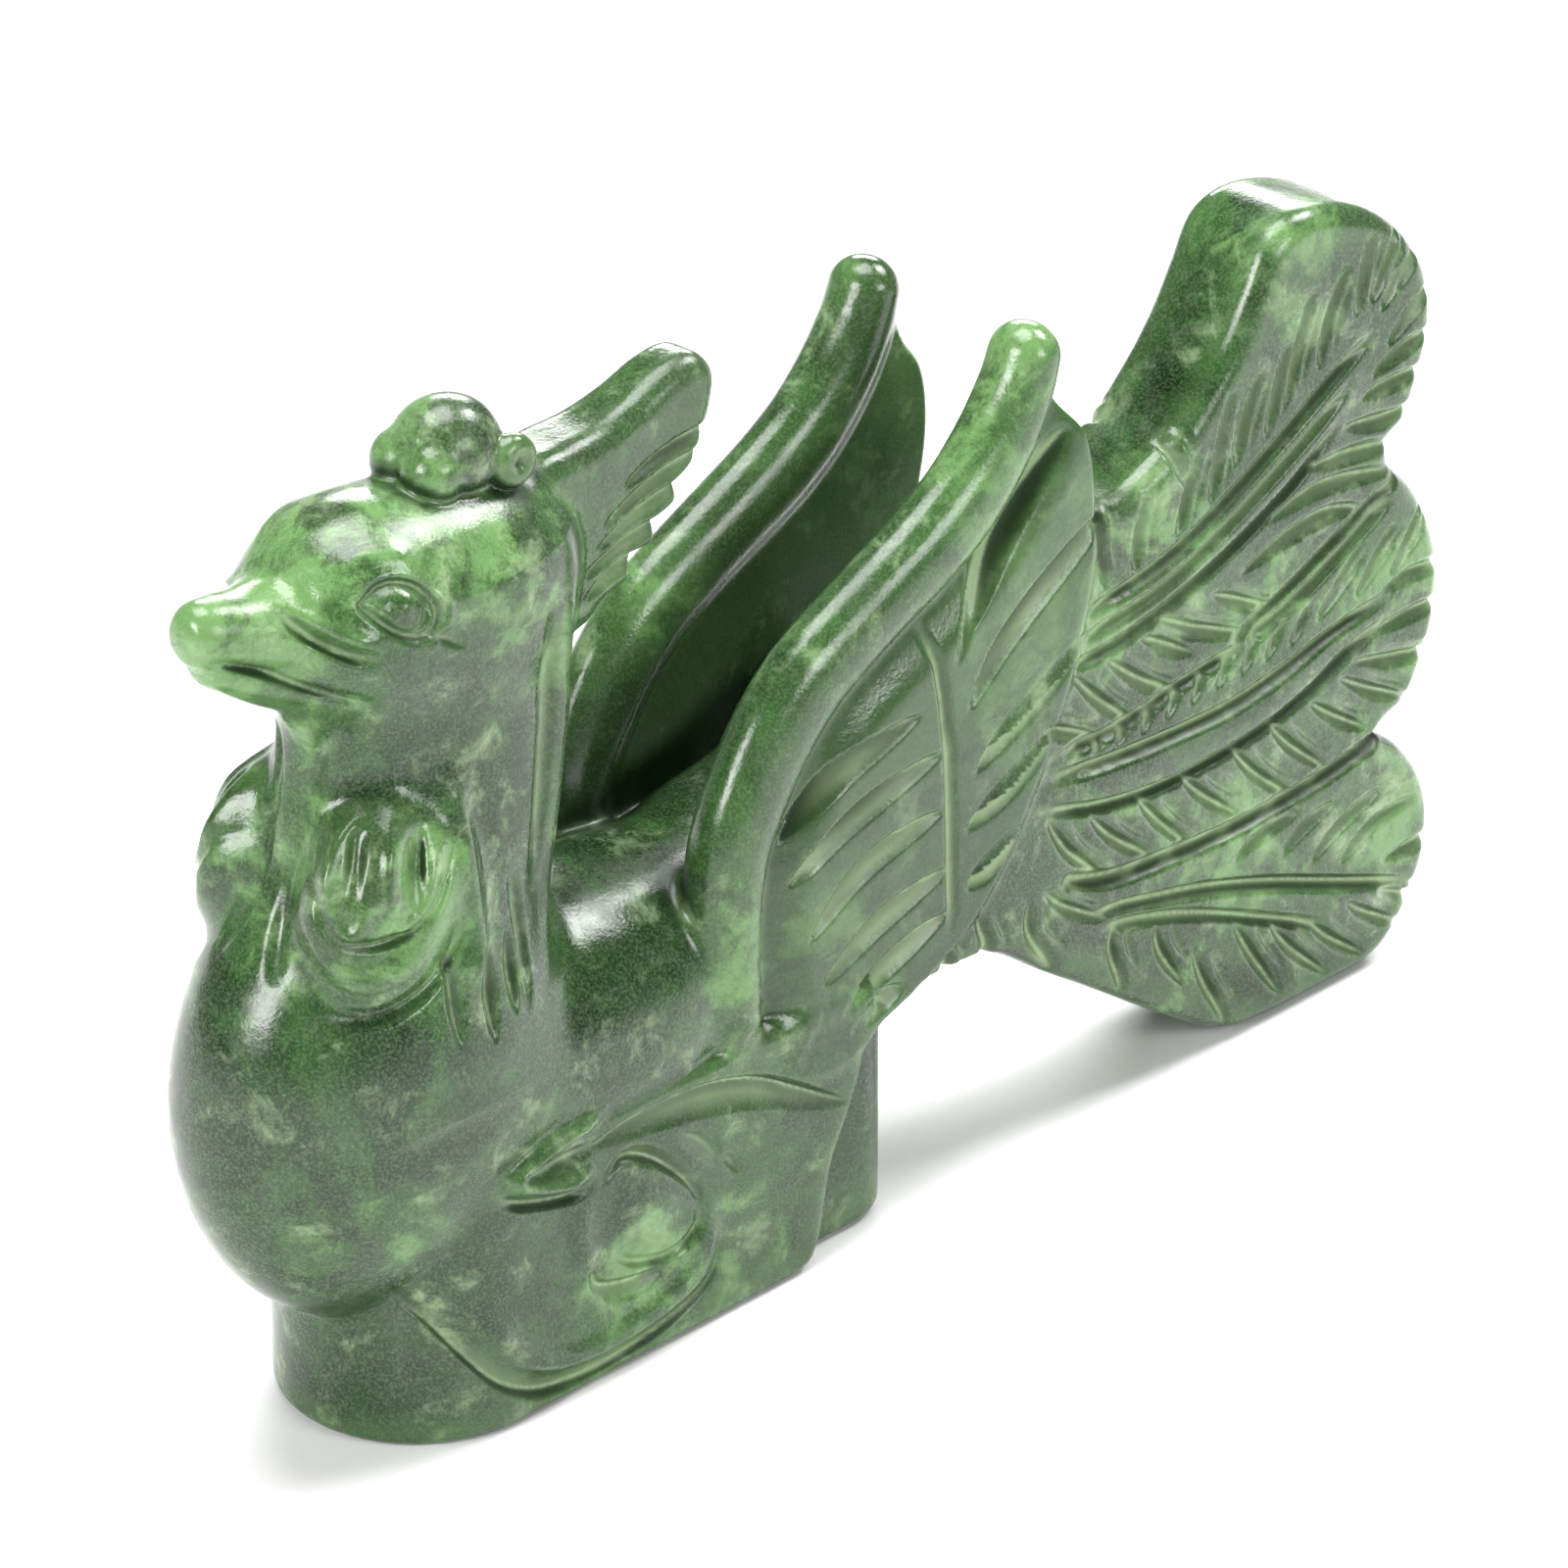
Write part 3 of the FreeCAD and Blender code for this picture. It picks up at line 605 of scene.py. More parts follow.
def head_relief():
    """The almond eye in its socket, the crease behind it, the root of the bill and the mouth."""
    height = SideMap()
    height.swell([(-29.6, 79), (-27, 80.2), (-24.4, 80.1), (-22, 78.6)], 1.6, 0.25, 0.25)
    height.swell(ring(EYE, 3.7, -75, 20), 1.2, 0.3, 0.25)
    height.swell([(-33, 77.6), (-31.4, 76), (-29, 74.4), (-26.8, 73.6)], 1.6, 0.6, 0.3)
    depth = SideMap()
    depth.groove(EYE_LID + EYE_LID[:1], 1.0, 0.7, 0)
    depth.groove(ring(EYE, 1.7, -150, 60), 0.8, 0.5, 0.15)
    depth.gouge([(-24, 73.4), (-21.6, 73), (-19.4, 71.2)], 1.8, 0.7, lean=-0.3)
    depth.groove([(-34, 77.4), (-32.2, 75.6), (-29.6, 73.4), (-27, 72.2)], 1.6, 0.9, 0.25)
    depth.groove(MOUTH, 1.0, 0.65, 0.15)
    return height, depth


def flank_maps():
    """All of the flank carving as one height and one depth."""
    height = SideMap()
    depth = SideMap()
    for raised, sunk in (plinth_relief(), neck_relief(), head_relief()):
        height.values += raised.values
        depth.values = np.maximum(depth.values, sunk.values)
    height.soften()
    depth.soften()
    return height, depth


# ---- the whole stone ----

# height, middle in X, half length in X, half width
NECK = [
    (34, -22, 13, 12), (38, -21.2, 13.2, 12), (45, -19.8, 13.3, 10.5), (55, -17.3, 14, 8.8),
    (62, -15.8, 14, 8.1), (70, -16.5, 13.6, 7.6),
]
# place along X, middle height, half width, half height
BODY = [
    (-32, 30, 8, 9), (-22, 30, 11.6, 12), (-10, 29, 12.1, 12.6), (2, 29, 12.1, 12), (9, 29, 10.4, 11.6),
    (15, 29.5, 8.6, 11.4), (24, 31, 7.6, 11.4), (32, 32, 7.6, 11.8), (40, 34, 8, 13),
]
# place along X, middle height, half height, half width
UPPER_BILL = [
    (-40.9, 76.1, 0.6, 0.6), (-40.5, 76.1, 1.9, 1.8), (-39.3, 76, 2.8, 2.6), (-37, 75.5, 3.2, 3.2),
    (-34, 74.8, 3.5, 3.9), (-30, 74, 4.6, 5), (-26, 73.3, 6, 6.3),
]
LOWER_BILL = [
    (-39.4, 73.4, 0.5, 0.6), (-39, 73.2, 1.4, 1.6), (-37.2, 72.4, 2, 2.3), (-34, 71, 2.7, 3.3),
    (-30, 69.6, 3.5, 4.5), (-26, 68.4, 4.5, 5.8),
]
BILL_ROOT = -25
# height, rear edge of the plinth's main cloud
PLINTH_REAR = [(0, 17), (3, 18.4), (7, 19.2), (10, 20), (14, 22), (18, 23.4), (26, 24.4)]
PLINTH_HALF_HEIGHT = 12.5
PLINTH_ROUNDING = 1.3
TAIL_ROOT_END = 50


class Stone:
    """Distances to the figurine and to its regions, in millimetres, negative inside."""

    def __init__(self):
        self.roll_far, self.roll_half, self.panel, self.wing_cuts = wing_maps()
        self.tail, self.tail_cuts, self.tail_ribs = tail_maps()
        self.plume, self.plume_cuts = plume_maps()
        self.raised, self.sunk = flank_maps()
        self.wattle_raised, self.wattle_sunk = wattle_maps()

    def base(self, x, s, z):
        """The plinth's main cloud, round in front, and the lobe behind it."""
        plan = np.where(x < -18, np.hypot(x + 18, s), s) - 12
        rear = x - along_table(z, PLINTH_REAR)[0]
        cloud = slab(carve(plan, -rear, 2.5), z, PLINTH_HALF_HEIGHT, PLINTH_HALF_HEIGHT, PLINTH_ROUNDING)
        lobe_plan = np.hypot(np.maximum(np.abs(x - 20.6) - 3.7, 0), np.maximum(s - 4.2, 0)) - 5.5
        lobe = slab(lobe_plan, z, PLINTH_HALF_HEIGHT, PLINTH_HALF_HEIGHT, PLINTH_ROUNDING)
        return cloud, lobe

    def body(self, x, s, z):
        """The breast and the torso between the wings."""
        breast = ellipsoid(x, s, z, (-24, 0, 31), (17, 12.6, 21))
        middle, half_width, half_height = along_table(x, BODY)
        torso = oval(s, z - middle, half_width, half_height)
        torso = np.maximum(torso, np.maximum(-30 - x, x - 38))
        return breast, torso

    def neck(self, x, s, z):
        middle, length, width = along_table(z, NECK)
        neck = oval(x - middle, s, length, width)
        return np.maximum(neck, np.maximum(34 - z, z - 74))

    def head(self, x, s, z):
        """The head and the two halves of the bill."""
        skull = ellipsoid(x, s, z, (-23, 0, 73.4), (10, 9, 8.9))
        nape = ellipsoid(x, s, z, (-14, 0, 71.5), (13, 9, 9.8))
        middle, high, wide = along_table(x, UPPER_BILL)
        upper = np.maximum(oval(z - middle, s, high, wide), np.maximum(UPPER_BILL[0][0] - x, x - BILL_ROOT))
        middle, high, wide = along_table(x, LOWER_BILL)
        lower = np.maximum(oval(z - middle, s, high, wide), np.maximum(LOWER_BILL[0][0] - x, x - BILL_ROOT))
        return join(skull, nape, 3), upper, lower

    def wattle(self, x, s, z):
        return ellipsoid(x, s, z, (-26.4, 6.2, 50.8), (7, 4, 7.4))

    def crest(self, x, s, z):
        """The knob, a small curl on each side behind it, and the plume."""
        dome = ellipsoid(x, s, z, (-12.9, 0, 83), (4.9, 4.4, 4.5))
        bud = ellipsoid(x, s, z, (-15.9, 1.7, 82.6), (2.6, 2.6, 2.6))
        knob = join(dome, bud, 0.35)
        curl = np.hypot(np.hypot(x + 9.4, z - 82.1) - 1.1, s - 3.9) - 1.2
        half = 3.9 - 0.9 * ramp(x, -6, 12)
        cuts = self.plume_cuts.read(x, z)
        plume = slab(self.plume.read(x, z), s, 0, half - cuts, 2.2)
        return knob, curl, plume

    def wing(self, x, s, z):
        """The rolled edge and the vane, which sinks next to the roll."""
        far = self.roll_far.read(x, z)
        half = self.roll_half.read(x, z)
        roll = oval(far, s - 9.2, half, 3.2)
        beyond = np.maximum(far - half, 0)
        outer = 11.9 - 1.8 * (1 - ramp(beyond, 0, 5)) - self.wing_cuts.read(x, z)
        inner = 7.2 + 1.6 * ramp(beyond, 4, 20)
        panel = slab(self.panel.read(x, z), s, (outer + inner) / 2, (outer - inner) / 2, 0.8)
        return roll, panel

    def tail_plate(self, x, y, z):
        """The tail: thick at its root, and behind that a thinner plate on the bird's left side."""
        near_root = 1 - ramp(x, 22, 50)
        centre = -5.8 + 3.6 * near_root
        half = 6.0 + 2.4 * near_root - self.tail_cuts.read(x, z) + self.tail_ribs.read(x, z) - 0.4
        return slab(self.tail.read(x, z), y, centre, half, 2.2)

    def distance(self, x, y, z):
        """About the distance to the stone's surface."""
        s = np.abs(y)
        cloud, lobe = self.base(x, s, z)
        breast, torso = self.body(x, s, z)
        head, upper_bill, lower_bill = self.head(x, s, z)
        knob, curl, plume = self.crest(x, s, z)
        roll, panel = self.wing(x, s, z)
        tail = self.tail_plate(x, y, z)
        eye = ellipsoid(x, s, z, (EYE[0], EYE_DEPTH, EYE[1]), (1.5, 1.4, 1.5))

        base = join(cloud, lobe, 0.8)
        body = join(join(torso, breast, 3), self.neck(x, s, z), 4)
        body = join(body, self.wattle(x, s, z), 3)
        body = join(body, join(head, join(upper_bill, lower_bill, 0.4), 0.8), 3)
        body = join(body, base, 0.8)
        # the flank carving fades out towards the middle plane, except on the bill
        on_bill = (1 - ramp(x, -31, -27)) * ramp(z, 62, 66) * (1 - ramp(z, 76.5, 78.5))
        share = np.maximum(ramp(s, 2.5, 6), ramp(s, 0.2, 1.2) * on_bill)
        body = body + (self.sunk.read(x, z) - self.raised.read(x, z)) * share
        quarter = QUARTER[0] * x + QUARTER[1] * s
        share = ramp(s, 0.5, 3) * (1 - ramp(x, -20, -15)) * (1 - ramp(z, 62, 68))
        body = body + (self.wattle_sunk.read(quarter, z) - self.wattle_raised.read(quarter, z)) * share
        body = join(body, eye, 0.2)
        body = join(body, join(roll, panel, 0.8), 1.6)
        body = join(body, tail, 2.0)
        body = join(body, plume, 1.2)
        body = join(body, knob, 0.7)
        body = join(body, curl, 0.4)
        return body

    def regions(self, x, y, z):
        """Distance to each region on its own, by the name of its CAD node without its side."""
        s = np.abs(y)
        cloud, lobe = self.base(x, s, z)
        breast, torso = self.body(x, s, z)
        head, upper_bill, lower_bill = self.head(x, s, z)
        knob, curl, plume = self.crest(x, s, z)
        roll, panel = self.wing(x, s, z)
        tail = self.tail_plate(x, y, z)
        behind = x - TAIL_ROOT_END
        feathers = np.maximum(tail, -behind)
        split_low = 22 + 0.02 * (x - 60)
        split_high = 39.5 + 0.12 * (x - 70)
        return {
            "cloud_plinth": cloud,
            "plinth_rear_cloud": lobe,
            "cloud_scroll": np.maximum(np.hypot(x + 4, z - 12.5) - 7, np.abs(s - 12) - 1.5) - 0.4,
            "torso": torso,
            "breast": breast,
            "neck": self.neck(x, s, z),
            "wattle": self.wattle(x, s, z),
            "head": head,
            "beak_upper": upper_bill,
            "beak_lower": lower_bill,
            "eye": ellipsoid(x, s, z, (EYE[0], EYE_DEPTH, EYE[1]), (2.4, 1.9, 2.4)) - 0.3,
            "crest_knob": knob,
            "crest_curl": curl,
            "crest_plume": plume,
            "wing_edge": roll,
            "wing_panel": panel,
            "tail_root": np.maximum(tail, behind),
            "tail_feather_bottom": np.maximum(feathers, z - split_low),
            "tail_feather_middle": np.maximum(feathers, np.maximum(split_low - z, z - split_high)),
            "tail_feather_top": np.maximum(feathers, split_high - z),
        }


# ---- meshing ----

VOXEL = 0.3
# the distance is read on blocks of this many voxels first, and in full only near the surface
COARSE = 4
NEAR = COARSE * VOXEL + 1.8
# how far from the surface the distances are kept, and the room left round the CAD box
BAND = 3.0
BATCH = 600000


def enlarged(blocks):
    """Each value of a coarse grid repeated over its block of voxels."""
    for axis in range(3):
        blocks = np.repeat(blocks, COARSE, axis)
    return blocks


def mesh_stone(stone):
    """Vertices and quads of the stone's surface, in millimetres."""
    low = np.array(cad_low) / MM - BAND
    high = np.array(cad_high) / MM + BAND
    shape = (np.ceil((high - low) / VOXEL / COARSE).astype(int) + 1) * COARSE
    axes = []
    for k in range(3):
        voxels = COARSE * np.arange(shape[k] // COARSE) + (COARSE - 1) / 2
        axes.append((low[k] + VOXEL * voxels).astype(np.float32))
    cx, cy, cz = np.meshgrid(*axes, indexing="ij")
    rough = stone.distance(cx.ravel(), cy.ravel(), cz.ravel()).reshape(cx.shape)
    values = enlarged(np.sign(rough) * BAND).astype(np.float32)
    cells = np.argwhere(enlarged(np.abs(rough) < NEAR))
    for batch in np.array_split(cells, max(1, len(cells) // BATCH)):
        places = (low + batch * VOXEL).astype(np.float32)
        values[tuple(batch.T)] = stone.distance(*places.T)
    values = np.clip(values, -BAND, BAND)
    grid = openvdb.FloatGrid(BAND)
    grid.copyFromArray(values)
    points, quads = grid.convertToQuads(0.0)
    points = low + points * VOXEL
    return points.astype(np.float32), quads.astype(np.int64)


def slope(stone, points, eps=0.2):
    """Gradient of the distance at each point."""
    x, y, z = points.T
    return np.stack([
        stone.distance(x + eps, y, z) - stone.distance(x - eps, y, z),
        stone.distance(x, y + eps, z) - stone.distance(x, y - eps, z),
        stone.distance(x, y, z + eps) - stone.distance(x, y, z - eps),
    ], axis=1) / (2 * eps)


LONGEST_STEP = 0.15


def settle(stone, points, rounds=2):
    """Moves the points onto the exact surface and returns them with their normals."""
    for _ in range(rounds):
        rise = slope(stone, points)
        size = np.maximum((rise**2).sum(1), 0.1)
        step = np.clip(stone.distance(*points.T) / size, -LONGEST_STEP, LONGEST_STEP)
        points = points - rise * step[:, None]
    rise = slope(stone, points)
    return points, rise / np.maximum(np.linalg.norm(rise, axis=1), 1e-6)[:, None]


# ---- the jade ----

class Nodes:
    """Short forms for building a material's node tree."""

    def __init__(self, tree):
        self.tree = tree

    def add(self, kind, settings=()):
        node = self.tree.nodes.new(kind)
        for name, value in settings:
            setattr(node, name, value)
        return node

    def feed(self, socket, value):
        """Links an output to a socket, or sets the socket's value."""
        if isinstance(value, bpy.types.NodeSocket):
            self.tree.links.new(value, socket)
        else:
            socket.default_value = value

    def maths(self, operation, a, b=0.0, clamp=False):
        node = self.tree.nodes.new("ShaderNodeMath")
        node.operation = operation
        node.use_clamp = clamp
        self.feed(node.inputs[0], a)
        self.feed(node.inputs[1], b)
        return node.outputs[0]

    def spread(self, value, low, high, to_low=0.0, to_high=1.0):
        """Stretches a value from one range to another, smoothly and clamped."""
        node = self.add("ShaderNodeMapRange", [("interpolation_type", "SMOOTHSTEP"), ("clamp", True)])
        self.feed(node.inputs["Value"], value)
        node.inputs["From Min"].default_value = low
        node.inputs["From Max"].default_value = high
        node.inputs["To Min"].default_value = to_low
        node.inputs["To Max"].default_value = to_high
        return node.outputs[0]

    def noise(self, place, size, detail=4.0, roughness=0.55, distortion=0.0, seed=0.0):
        """Noise whose blotches are about `size` millimetres across."""
        node = self.add("ShaderNodeTexNoise", [("noise_dimensions", "4D")])
        self.feed(node.inputs["Vector"], place)
        node.inputs["W"].default_value = seed
        node.inputs["Scale"].default_value = 1 / (size * MM)
        node.inputs["Detail"].default_value = detail
        node.inputs["Roughness"].default_value = roughness
        node.inputs["Distortion"].default_value = distortion
        return node.outputs[0]

    def blend(self, share, first, second):
        """A mix of two colours."""
        node = self.add("ShaderNodeMix", [("data_type", "RGBA")])
        self.feed(node.inputs[0], share)
        self.feed(node.inputs[6], first)
        self.feed(node.inputs[7], second)
        return node.outputs[2]

    def attribute(self, name):
        return self.add("ShaderNodeAttribute", [("attribute_name", name)]).outputs["Fac"]


def srgb(red, green, blue):
    """A colour given in 0-255 display values."""
    def linear(value):
        value /= 255
        return value / 12.92 if value <= 0.04045 else ((value + 0.055) / 1.055) ** 2.4
    return (linear(red), linear(green), linear(blue), 1.0)


DEEP = srgb(13, 37, 12)
DARK = srgb(24, 54, 20)
MIDDLE = srgb(42, 76, 34)
LIGHT = srgb(96, 134, 78)
PALE = srgb(164, 190, 144)
VEIN = srgb(66, 76, 64)


def jade_colour(n, place):
    """Green clouds with painted shade and painted glow mixed into their tone, dark patches, grey veins,
    cracks and specks; then a painted glow where the stone has little thickness, darker wing vanes, paler
    frosted cuts and painted shade in hollows.
    """
    carved = n.attribute("carved")
    hollow_shade_and_frost = n.attribute("hollow_shade_and_frost")
    thin_glow = n.attribute("thin_glow")
    vane = n.attribute("vane")

    broad = n.noise(place, 26, detail=3, roughness=0.5, distortion=0.6, seed=1.3)
    cloud = n.noise(place, 9, detail=6, roughness=0.62, distortion=1.2, seed=4.1)
    wisp = n.noise(place, 3.4, detail=6, roughness=0.65, distortion=0.8, seed=7.7)
    tone = n.maths("ADD", n.maths("MULTIPLY", broad, 0.45), n.maths("MULTIPLY", cloud, 0.4))
    tone = n.maths("ADD", tone, n.maths("MULTIPLY", wisp, 0.15))
    # the stone's own paler and darker places, together with painted shade in recesses and a painted glow at
    # the tips
    tone = n.maths("ADD", tone, n.maths("MULTIPLY", n.attribute("tint_shade_and_glow"), 0.055))
    colour = n.blend(n.spread(tone, 0.43, 0.50), DARK, MIDDLE)
    colour = n.blend(n.spread(tone, 0.50, 0.58), colour, LIGHT)

    patches = n.noise(place, 12, detail=6, roughness=0.66, distortion=1.2, seed=12.5)
    colour = n.blend(n.spread(patches, 0.49, 0.58, 0.0, 0.78), colour, DEEP)
    flecks = n.noise(place, 4.5, detail=6, roughness=0.68, distortion=0.4, seed=21.0)
    colour = n.blend(n.spread(flecks, 0.52, 0.72, 0.0, 0.5), colour, PALE)

    veins = n.noise(place, 13, detail=5, roughness=0.6, distortion=1.0, seed=33.0)
    ridge = n.maths("ABSOLUTE", n.maths("SUBTRACT", veins, 0.5))
    colour = n.blend(n.spread(ridge, 0.0, 0.02, 0.3, 0.0), colour, VEIN)
    cracks = n.noise(place, 7, detail=7, roughness=0.7, distortion=0.6, seed=41.0)
    ridge = n.maths("ABSOLUTE", n.maths("SUBTRACT", cracks, 0.5))
    colour = n.blend(n.spread(ridge, 0.0, 0.008, 0.5, 0.0), colour, DEEP)
    specks = n.noise(place, 0.9, detail=4, roughness=0.6, seed=2.2)
    colour = n.blend(n.spread(specks, 0.64, 0.74, 0.0, 0.7), colour, DEEP)
    grain = n.noise(place, 0.25, detail=2, roughness=0.5, seed=9.9)
    colour = n.blend(n.spread(grain, 0.4, 0.7, 0.0, 0.12), colour, PALE)

    # a painted glow: places with little stone behind them are made lighter, as if light shone through
    colour = n.blend(n.maths("MULTIPLY", thin_glow, 0.4), colour, LIGHT)
    colour = n.blend(n.maths("MULTIPLY", vane, 0.45), colour, DARK)
    colour = n.blend(n.spread(carved, 0.05, 0.8, 0.0, 0.62), colour, PALE)
    # painted shade: the more enclosed a place is, the darker it is made, as if less light reached it
    return n.blend(n.spread(hollow_shade_and_frost, 0.15, 0.9, 0.0, 0.9), colour, DEEP)


def jade_roughness(n, place):
    """Uneven polish, frosted where a tool has cut."""
    polish = n.noise(place, 6, detail=5, roughness=0.6, seed=51.0)
    half_hollow = n.maths("MULTIPLY", n.attribute("hollow_shade_and_frost"), 0.5)
    frost = n.maths("MULTIPLY", n.maths("ADD", n.attribute("carved"), half_hollow), 0.3)
    return n.maths("ADD", n.spread(polish, 0.4, 0.65, 0.14, 0.3), frost, clamp=True)


def jade_bump(n, place):
    """Fine pits over the slow waves that hand polishing leaves."""
    pits = n.noise(place, 0.35, detail=3, roughness=0.6, seed=61.0)
    waves = n.noise(place, 5, detail=3, roughness=0.5, seed=71.0)
    bump = n.add("ShaderNodeBump")
    n.feed(bump.inputs["Height"], n.maths("ADD", n.maths("MULTIPLY", pits, 0.3), waves))
    bump.inputs["Strength"].default_value = 0.4
    bump.inputs["Distance"].default_value = 0.25 * MM
    return bump.outputs[0]


def jade_material():
    """Polished mottled jade."""
    material = bpy.data.materials.new("jade")
    material.use_nodes = True
    tree = material.node_tree
    shader = tree.nodes["Principled BSDF"]
    n = Nodes(tree)
    place = n.add("ShaderNodeTexCoord").outputs["Object"]
    n.feed(shader.inputs["Base Color"], jade_colour(n, place))
    n.feed(shader.inputs["Roughness"], jade_roughness(n, place))
    shader.inputs["IOR"].default_value = 1.5
    n.feed(shader.inputs["Normal"], jade_bump(n, place))
    return material


# ---- pieces ----

# the regions that lie across the middle plane; the others have a left and a right node
SINGLE = [
    "cloud_plinth", "plinth_rear_cloud", "torso", "breast", "neck", "head", "beak_upper", "beak_lower",
    "crest_knob", "crest_plume",
    "tail_root", "tail_feather_bottom", "tail_feather_middle", "tail_feather_top",
]


def region_of(stone, points):
    """The CAD node that each point belongs to, as a number, and the list of node names."""
    names = []
    nearest = np.full(len(points), 1e9, np.float32)
    number = np.zeros(len(points), int)
    for region, far in stone.regions(*points.T).items():
        sides = [region] if region in SINGLE else [region + "_left", region + "_right"]
        closer = far < nearest
        nearest = np.where(closer, far, nearest)
        for k, name in enumerate(sides):
            on_side = closer if len(sides) == 1 else closer & ((points[:, 1] < 0) == (k == 0))
            number[on_side] = len(names)
            names.append(name)
    return number, names


# centre, reach and amount of places where the stone is darker (below 0) or paler, alike on both sides:
# partly its own tone, partly painted shade in recesses and inside the wings, and painted glow at the tips
TINT_SHADE_AND_GLOW = [
    ((-4, 12, 34), 9, -1.2), ((8, 10, 31), 6, -0.8), ((-14, 9, 58), 9, -1.3), ((-23, 9, 65), 6, -1.0),
    ((-37, 3, 38), 6, -0.6), ((25, 7, 50), 16, -1.0), ((11, 12, 20), 6, -1.6), ((-3, 12, 22), 4, -1.2),
    ((22, 9, 12), 6, -0.8), ((59, 5, 68), 8, -1.6), ((0, 0, 80), 5, -1.0), ((-21, 11, 16), 4, -1.0),
    ((-37, 0, 75), 6, 2.2), ((-28, 3, 81), 4, 1.8), ((-28, 9, 52), 5, 2.0), ((6, 12, 27), 7, 1.4),
    ((-30, 8, 22), 9, 0.6), ((42, 9, 77), 5, 1.4), ((76, 8, 76), 7, 1.6), ((85, 12, 12), 12, 0.8),
    ((5, 3, 72), 6, 0.8), ((-14, 0, 84), 4, 1.0), ((-5, 12, 12), 6, 0.8), ((-17, 12, 23.5), 2, 3.0),
    ((18, 12, 58), 6, 1.2), ((-25, 11, 40), 5, -0.6), ((78, 12, 45), 9, 0.5),
]


def tint_shade_and_glow_of(points):
    """Where the stone is paler or darker than its average: its own tone, painted shade in recesses and
    painted glow at the tips.
    """
    sided = points * (1, 0, 1) + np.abs(points) * (0, 1, 0)
    tint_shade_and_glow = np.zeros(len(points))
    for centre, reach, amount in TINT_SHADE_AND_GLOW:
        tint_shade_and_glow += amount * np.exp(-((sided - centre) ** 2).sum(1) / reach**2)
    return tint_shade_and_glow


ON_SURFACE = 0.5
OUTER_FACE = 9
FLANK_END = 24
PLUME_HALF_WIDTH = 5
HOLLOW_REACH = 3.0
THIN_REACH = 4.0


def surface_facts(stone, points, normals):
    """What the jade's look depends on, at each point.

    carved: how deeply it is cut; then how enclosed it is, for painted shade and frost there;
    how little stone lies behind it, for a painted glow; vane: whether it is on a wing's feathers;
    and how much paler or darker it is than the rest, by its own tone and by painted shade and glow.
    """
    x, y, z = points.T
    s = np.abs(y)
    facing = np.abs(normals[:, 1])
    _, panel = stone.wing(x, s, z)
    on_wing = panel < ON_SURFACE
    on_tail = (stone.tail_plate(x, y, z) < ON_SURFACE) & ~on_wing
    outside = s > OUTER_FACE
    flank = stone.sunk.read(x, z) * (x < FLANK_END) * 0.7
    carved = np.where(on_wing, stone.wing_cuts.read(x, z) * outside, flank)
    carved = np.where(on_tail, stone.tail_cuts.read(x, z), carved)
    plume = stone.plume_cuts.read(x, z) * (s < PLUME_HALF_WIDTH)
    near_plume = (x < 15) & (z > 62)
    carved = np.where(near_plume, np.maximum(carved, plume), carved)
    carved = np.clip(carved * facing, 0, 1)
    # how enclosed each place is, for the painted shade in hollows and for their frost
    out = points + normals * HOLLOW_REACH
    hollow_shade_and_frost = np.clip((HOLLOW_REACH - stone.distance(*out.T)) / HOLLOW_REACH, 0, 1)
    # how little stone lies behind each place, for the painted glow
    back = points - normals * THIN_REACH
    thin_glow = np.clip((THIN_REACH + stone.distance(*back.T)) / THIN_REACH, 0, 1)
    vane = (on_wing & outside) * facing
    return {"carved": carved, "hollow_shade_and_frost": hollow_shade_and_frost, "thin_glow": thin_glow, "vane": vane, "tint_shade_and_glow": tint_shade_and_glow_of(points)}


def make_piece(name, points, quads, normals, facts, material):
    """One region of the stone as its own object."""
    used, local = np.unique(quads, return_inverse=True)
    mesh = bpy.data.meshes.new(name)
    mesh.vertices.add(len(used))
    mesh.vertices.foreach_set("co", (points[used] * MM).ravel())
    mesh.loops.add(quads.size)
    mesh.loops.foreach_set("vertex_index", local.ravel().astype(np.int32))
    mesh.polygons.add(len(quads))
    mesh.polygons.foreach_set("loop_start", np.arange(0, quads.size, 4, dtype=np.int32))
    mesh.update(calc_edges=True)
    mesh.validate()
    mesh.polygons.foreach_set("use_smooth", np.ones(len(mesh.polygons), bool))
    mesh.normals_split_custom_set_from_vertices(normals[used].tolist())
    for key, values in facts.items():
        layer = mesh.attributes.new(key, "FLOAT", "POINT")
        layer.data.foreach_set("value", values[used].astype(np.float32))
    mesh.materials.append(material)
    piece = bpy.data.objects.new("stone_" + name, mesh)
    bpy.context.collection.objects.link(piece)
    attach(piece, "root")
    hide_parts(name)
    return piece


def make_figurine():
    """Meshes the stone and makes one piece for each CAD node."""
    stone = Stone()
    points, quads = mesh_stone(stone)
    points, normals = settle(stone, points)
    points[:, 2] = np.maximum(points[:, 2], 0)
    corners = points[quads]
    # the quads may come out wound the other way
    facing = np.cross(corners[:, 1] - corners[:, 0], corners[:, 3] - corners[:, 0])
    if (facing * normals[quads[:, 0]]).sum(1).mean() < 0:
        quads = quads[:, ::-1].copy()
    facts = surface_facts(stone, points, normals)
    number, names = region_of(stone, corners.mean(1))
    material = jade_material()
    for k, name in enumerate(names):
        mine = quads[number == k]
        if len(mine):
            make_piece(name, points, mine, normals, facts, material)
        else:
            print("no faces for", name)


make_figurine()


# ---- floor, light and surroundings ----

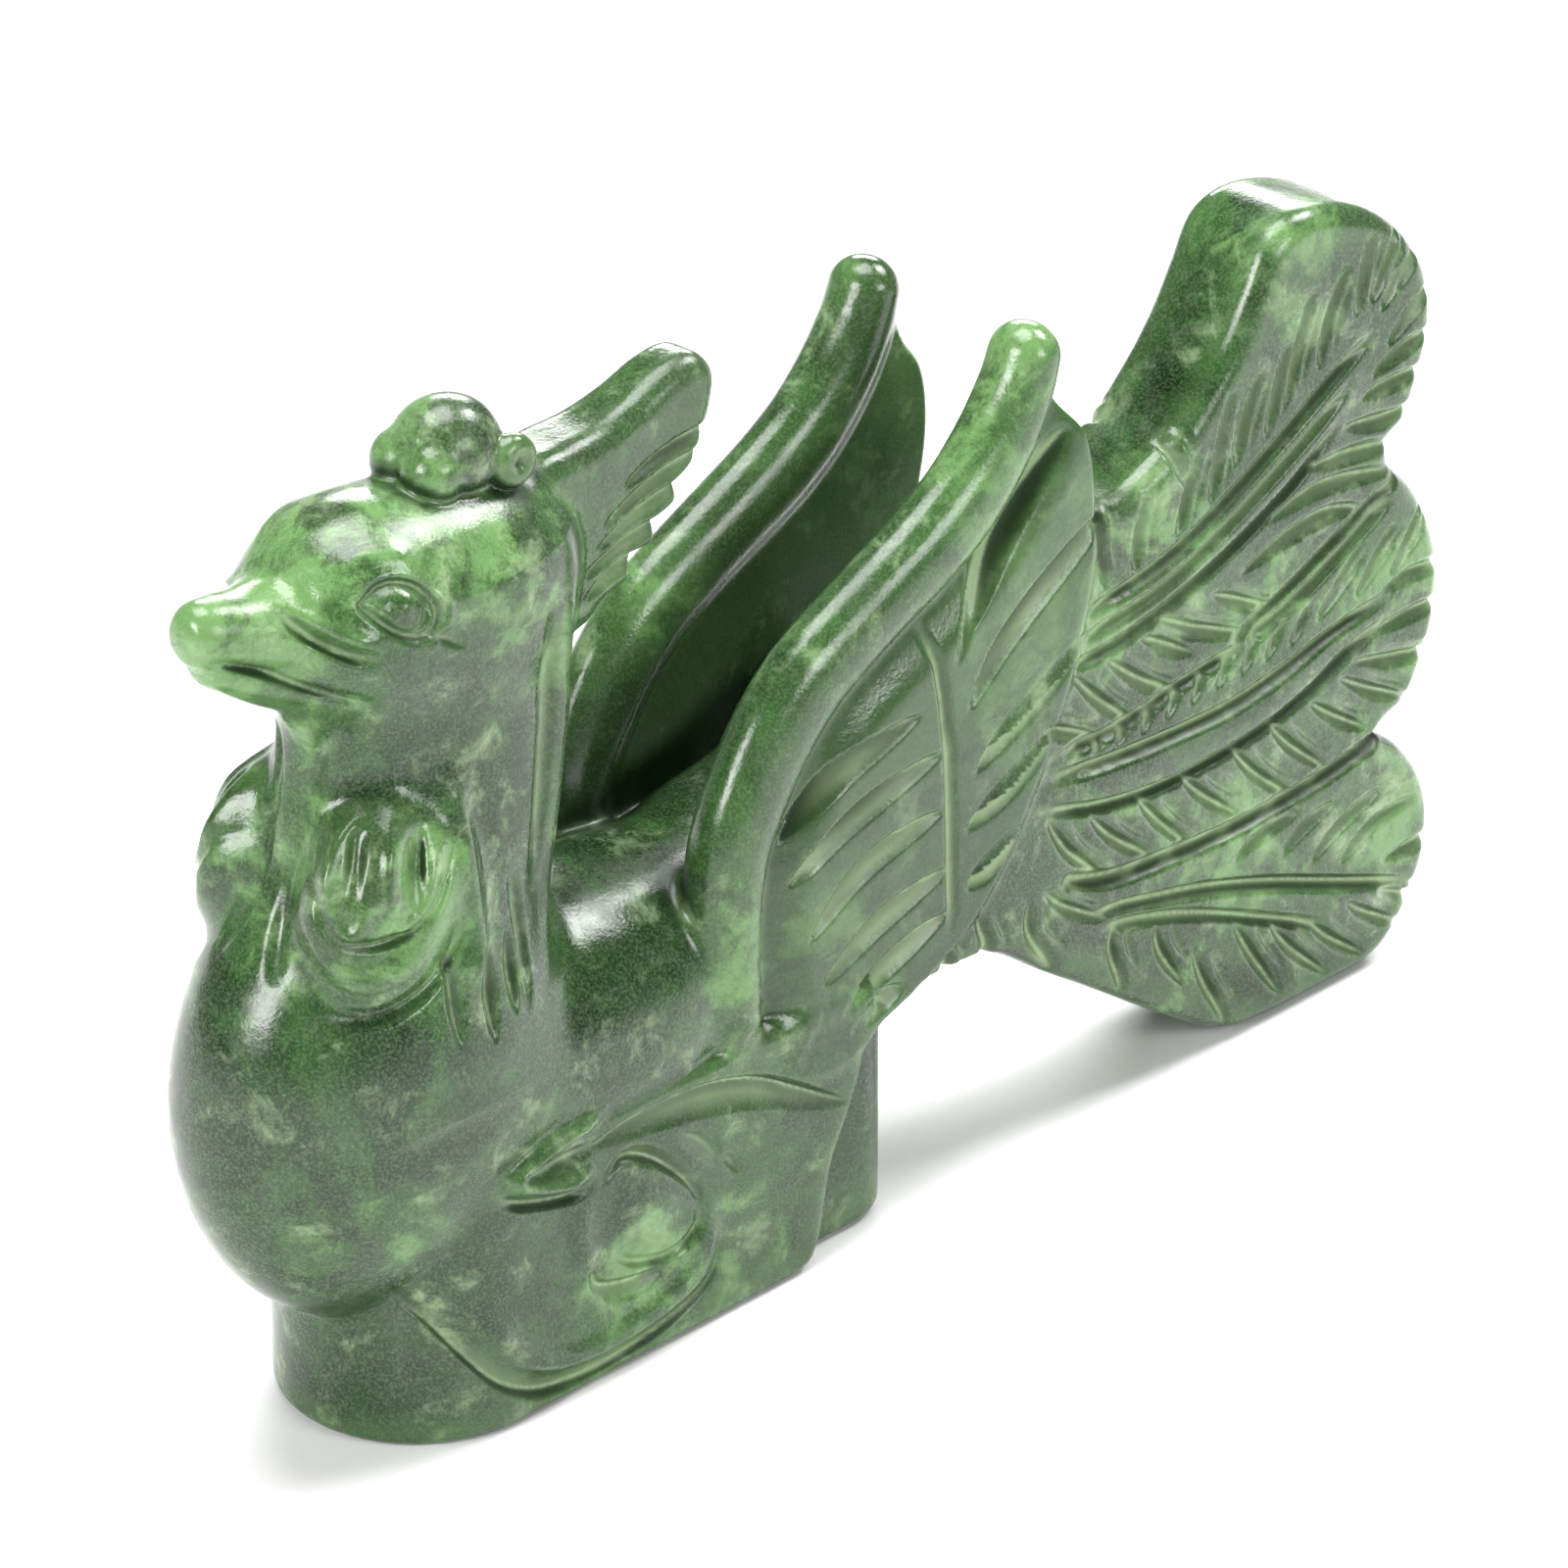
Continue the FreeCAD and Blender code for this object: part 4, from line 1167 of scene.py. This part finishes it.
def add_floor():
    """A plain pale floor."""
    bpy.ops.mesh.primitive_plane_add(size=2, location=(0, 0, 0))
    floor = bpy.context.object
    floor.name = "floor"
    material = bpy.data.materials.new("floor")
    material.use_nodes = True
    shader = material.node_tree.nodes["Principled BSDF"]
    shader.inputs["Base Color"].default_value = (0.9, 0.9, 0.9, 1)
    shader.inputs["Roughness"].default_value = 0.8
    shader.inputs["Specular IOR Level"].default_value = 0.1
    floor.data.materials.append(material)


LIGHT_AIM = (0.02, 0, 0.04)
# name, place and size in metres, power in watts
SOFT_BOXES = [
    ("top", (0.05, 0.1, 0.8), (0.5, 0.5), 7.8),
    ("left", (-0.75, -0.05, 0.45), (0.35, 0.35), 6.2),
    ("front", (0.15, -0.85, 0.45), (0.4, 0.3), 3.6),
    ("back", (0.7, 0.6, 0.45), (0.5, 0.3), 5.8),
    ("right", (0.55, -0.1, 0.65), (0.3, 0.3), 5.4),
]


def add_soft_box(name, place, size, power):
    """A rectangular light aimed at the middle of the figurine."""
    data = bpy.data.lights.new(name, "AREA")
    data.shape = "RECTANGLE"
    data.size, data.size_y = size
    data.energy = power
    light = bpy.data.objects.new(name, data)
    light.location = place
    aim = Vector(LIGHT_AIM) - Vector(place)
    light.rotation_euler = aim.to_track_quat("-Z", "Y").to_euler()
    bpy.context.collection.objects.link(light)


def add_light():
    """Soft boxes round the figurine in a dim room, which is palest at the horizon."""
    world = bpy.data.worlds.new("studio")
    world.use_nodes = True
    n = Nodes(world.node_tree)
    height = n.add("ShaderNodeSeparateXYZ")
    n.feed(height.inputs[0], n.add("ShaderNodeTexCoord").outputs["Generated"])
    background = world.node_tree.nodes["Background"]
    background.inputs["Color"].default_value = (1, 1, 1, 1)
    n.feed(background.inputs["Strength"], n.spread(height.outputs["Z"], 0.0, 0.6, 0.42, 0.1))
    bpy.context.scene.world = world
    for name, place, size, power in SOFT_BOXES:
        add_soft_box(name, place, size, power)
    bpy.context.scene.view_settings.view_transform = "Standard"


add_floor()
add_light()
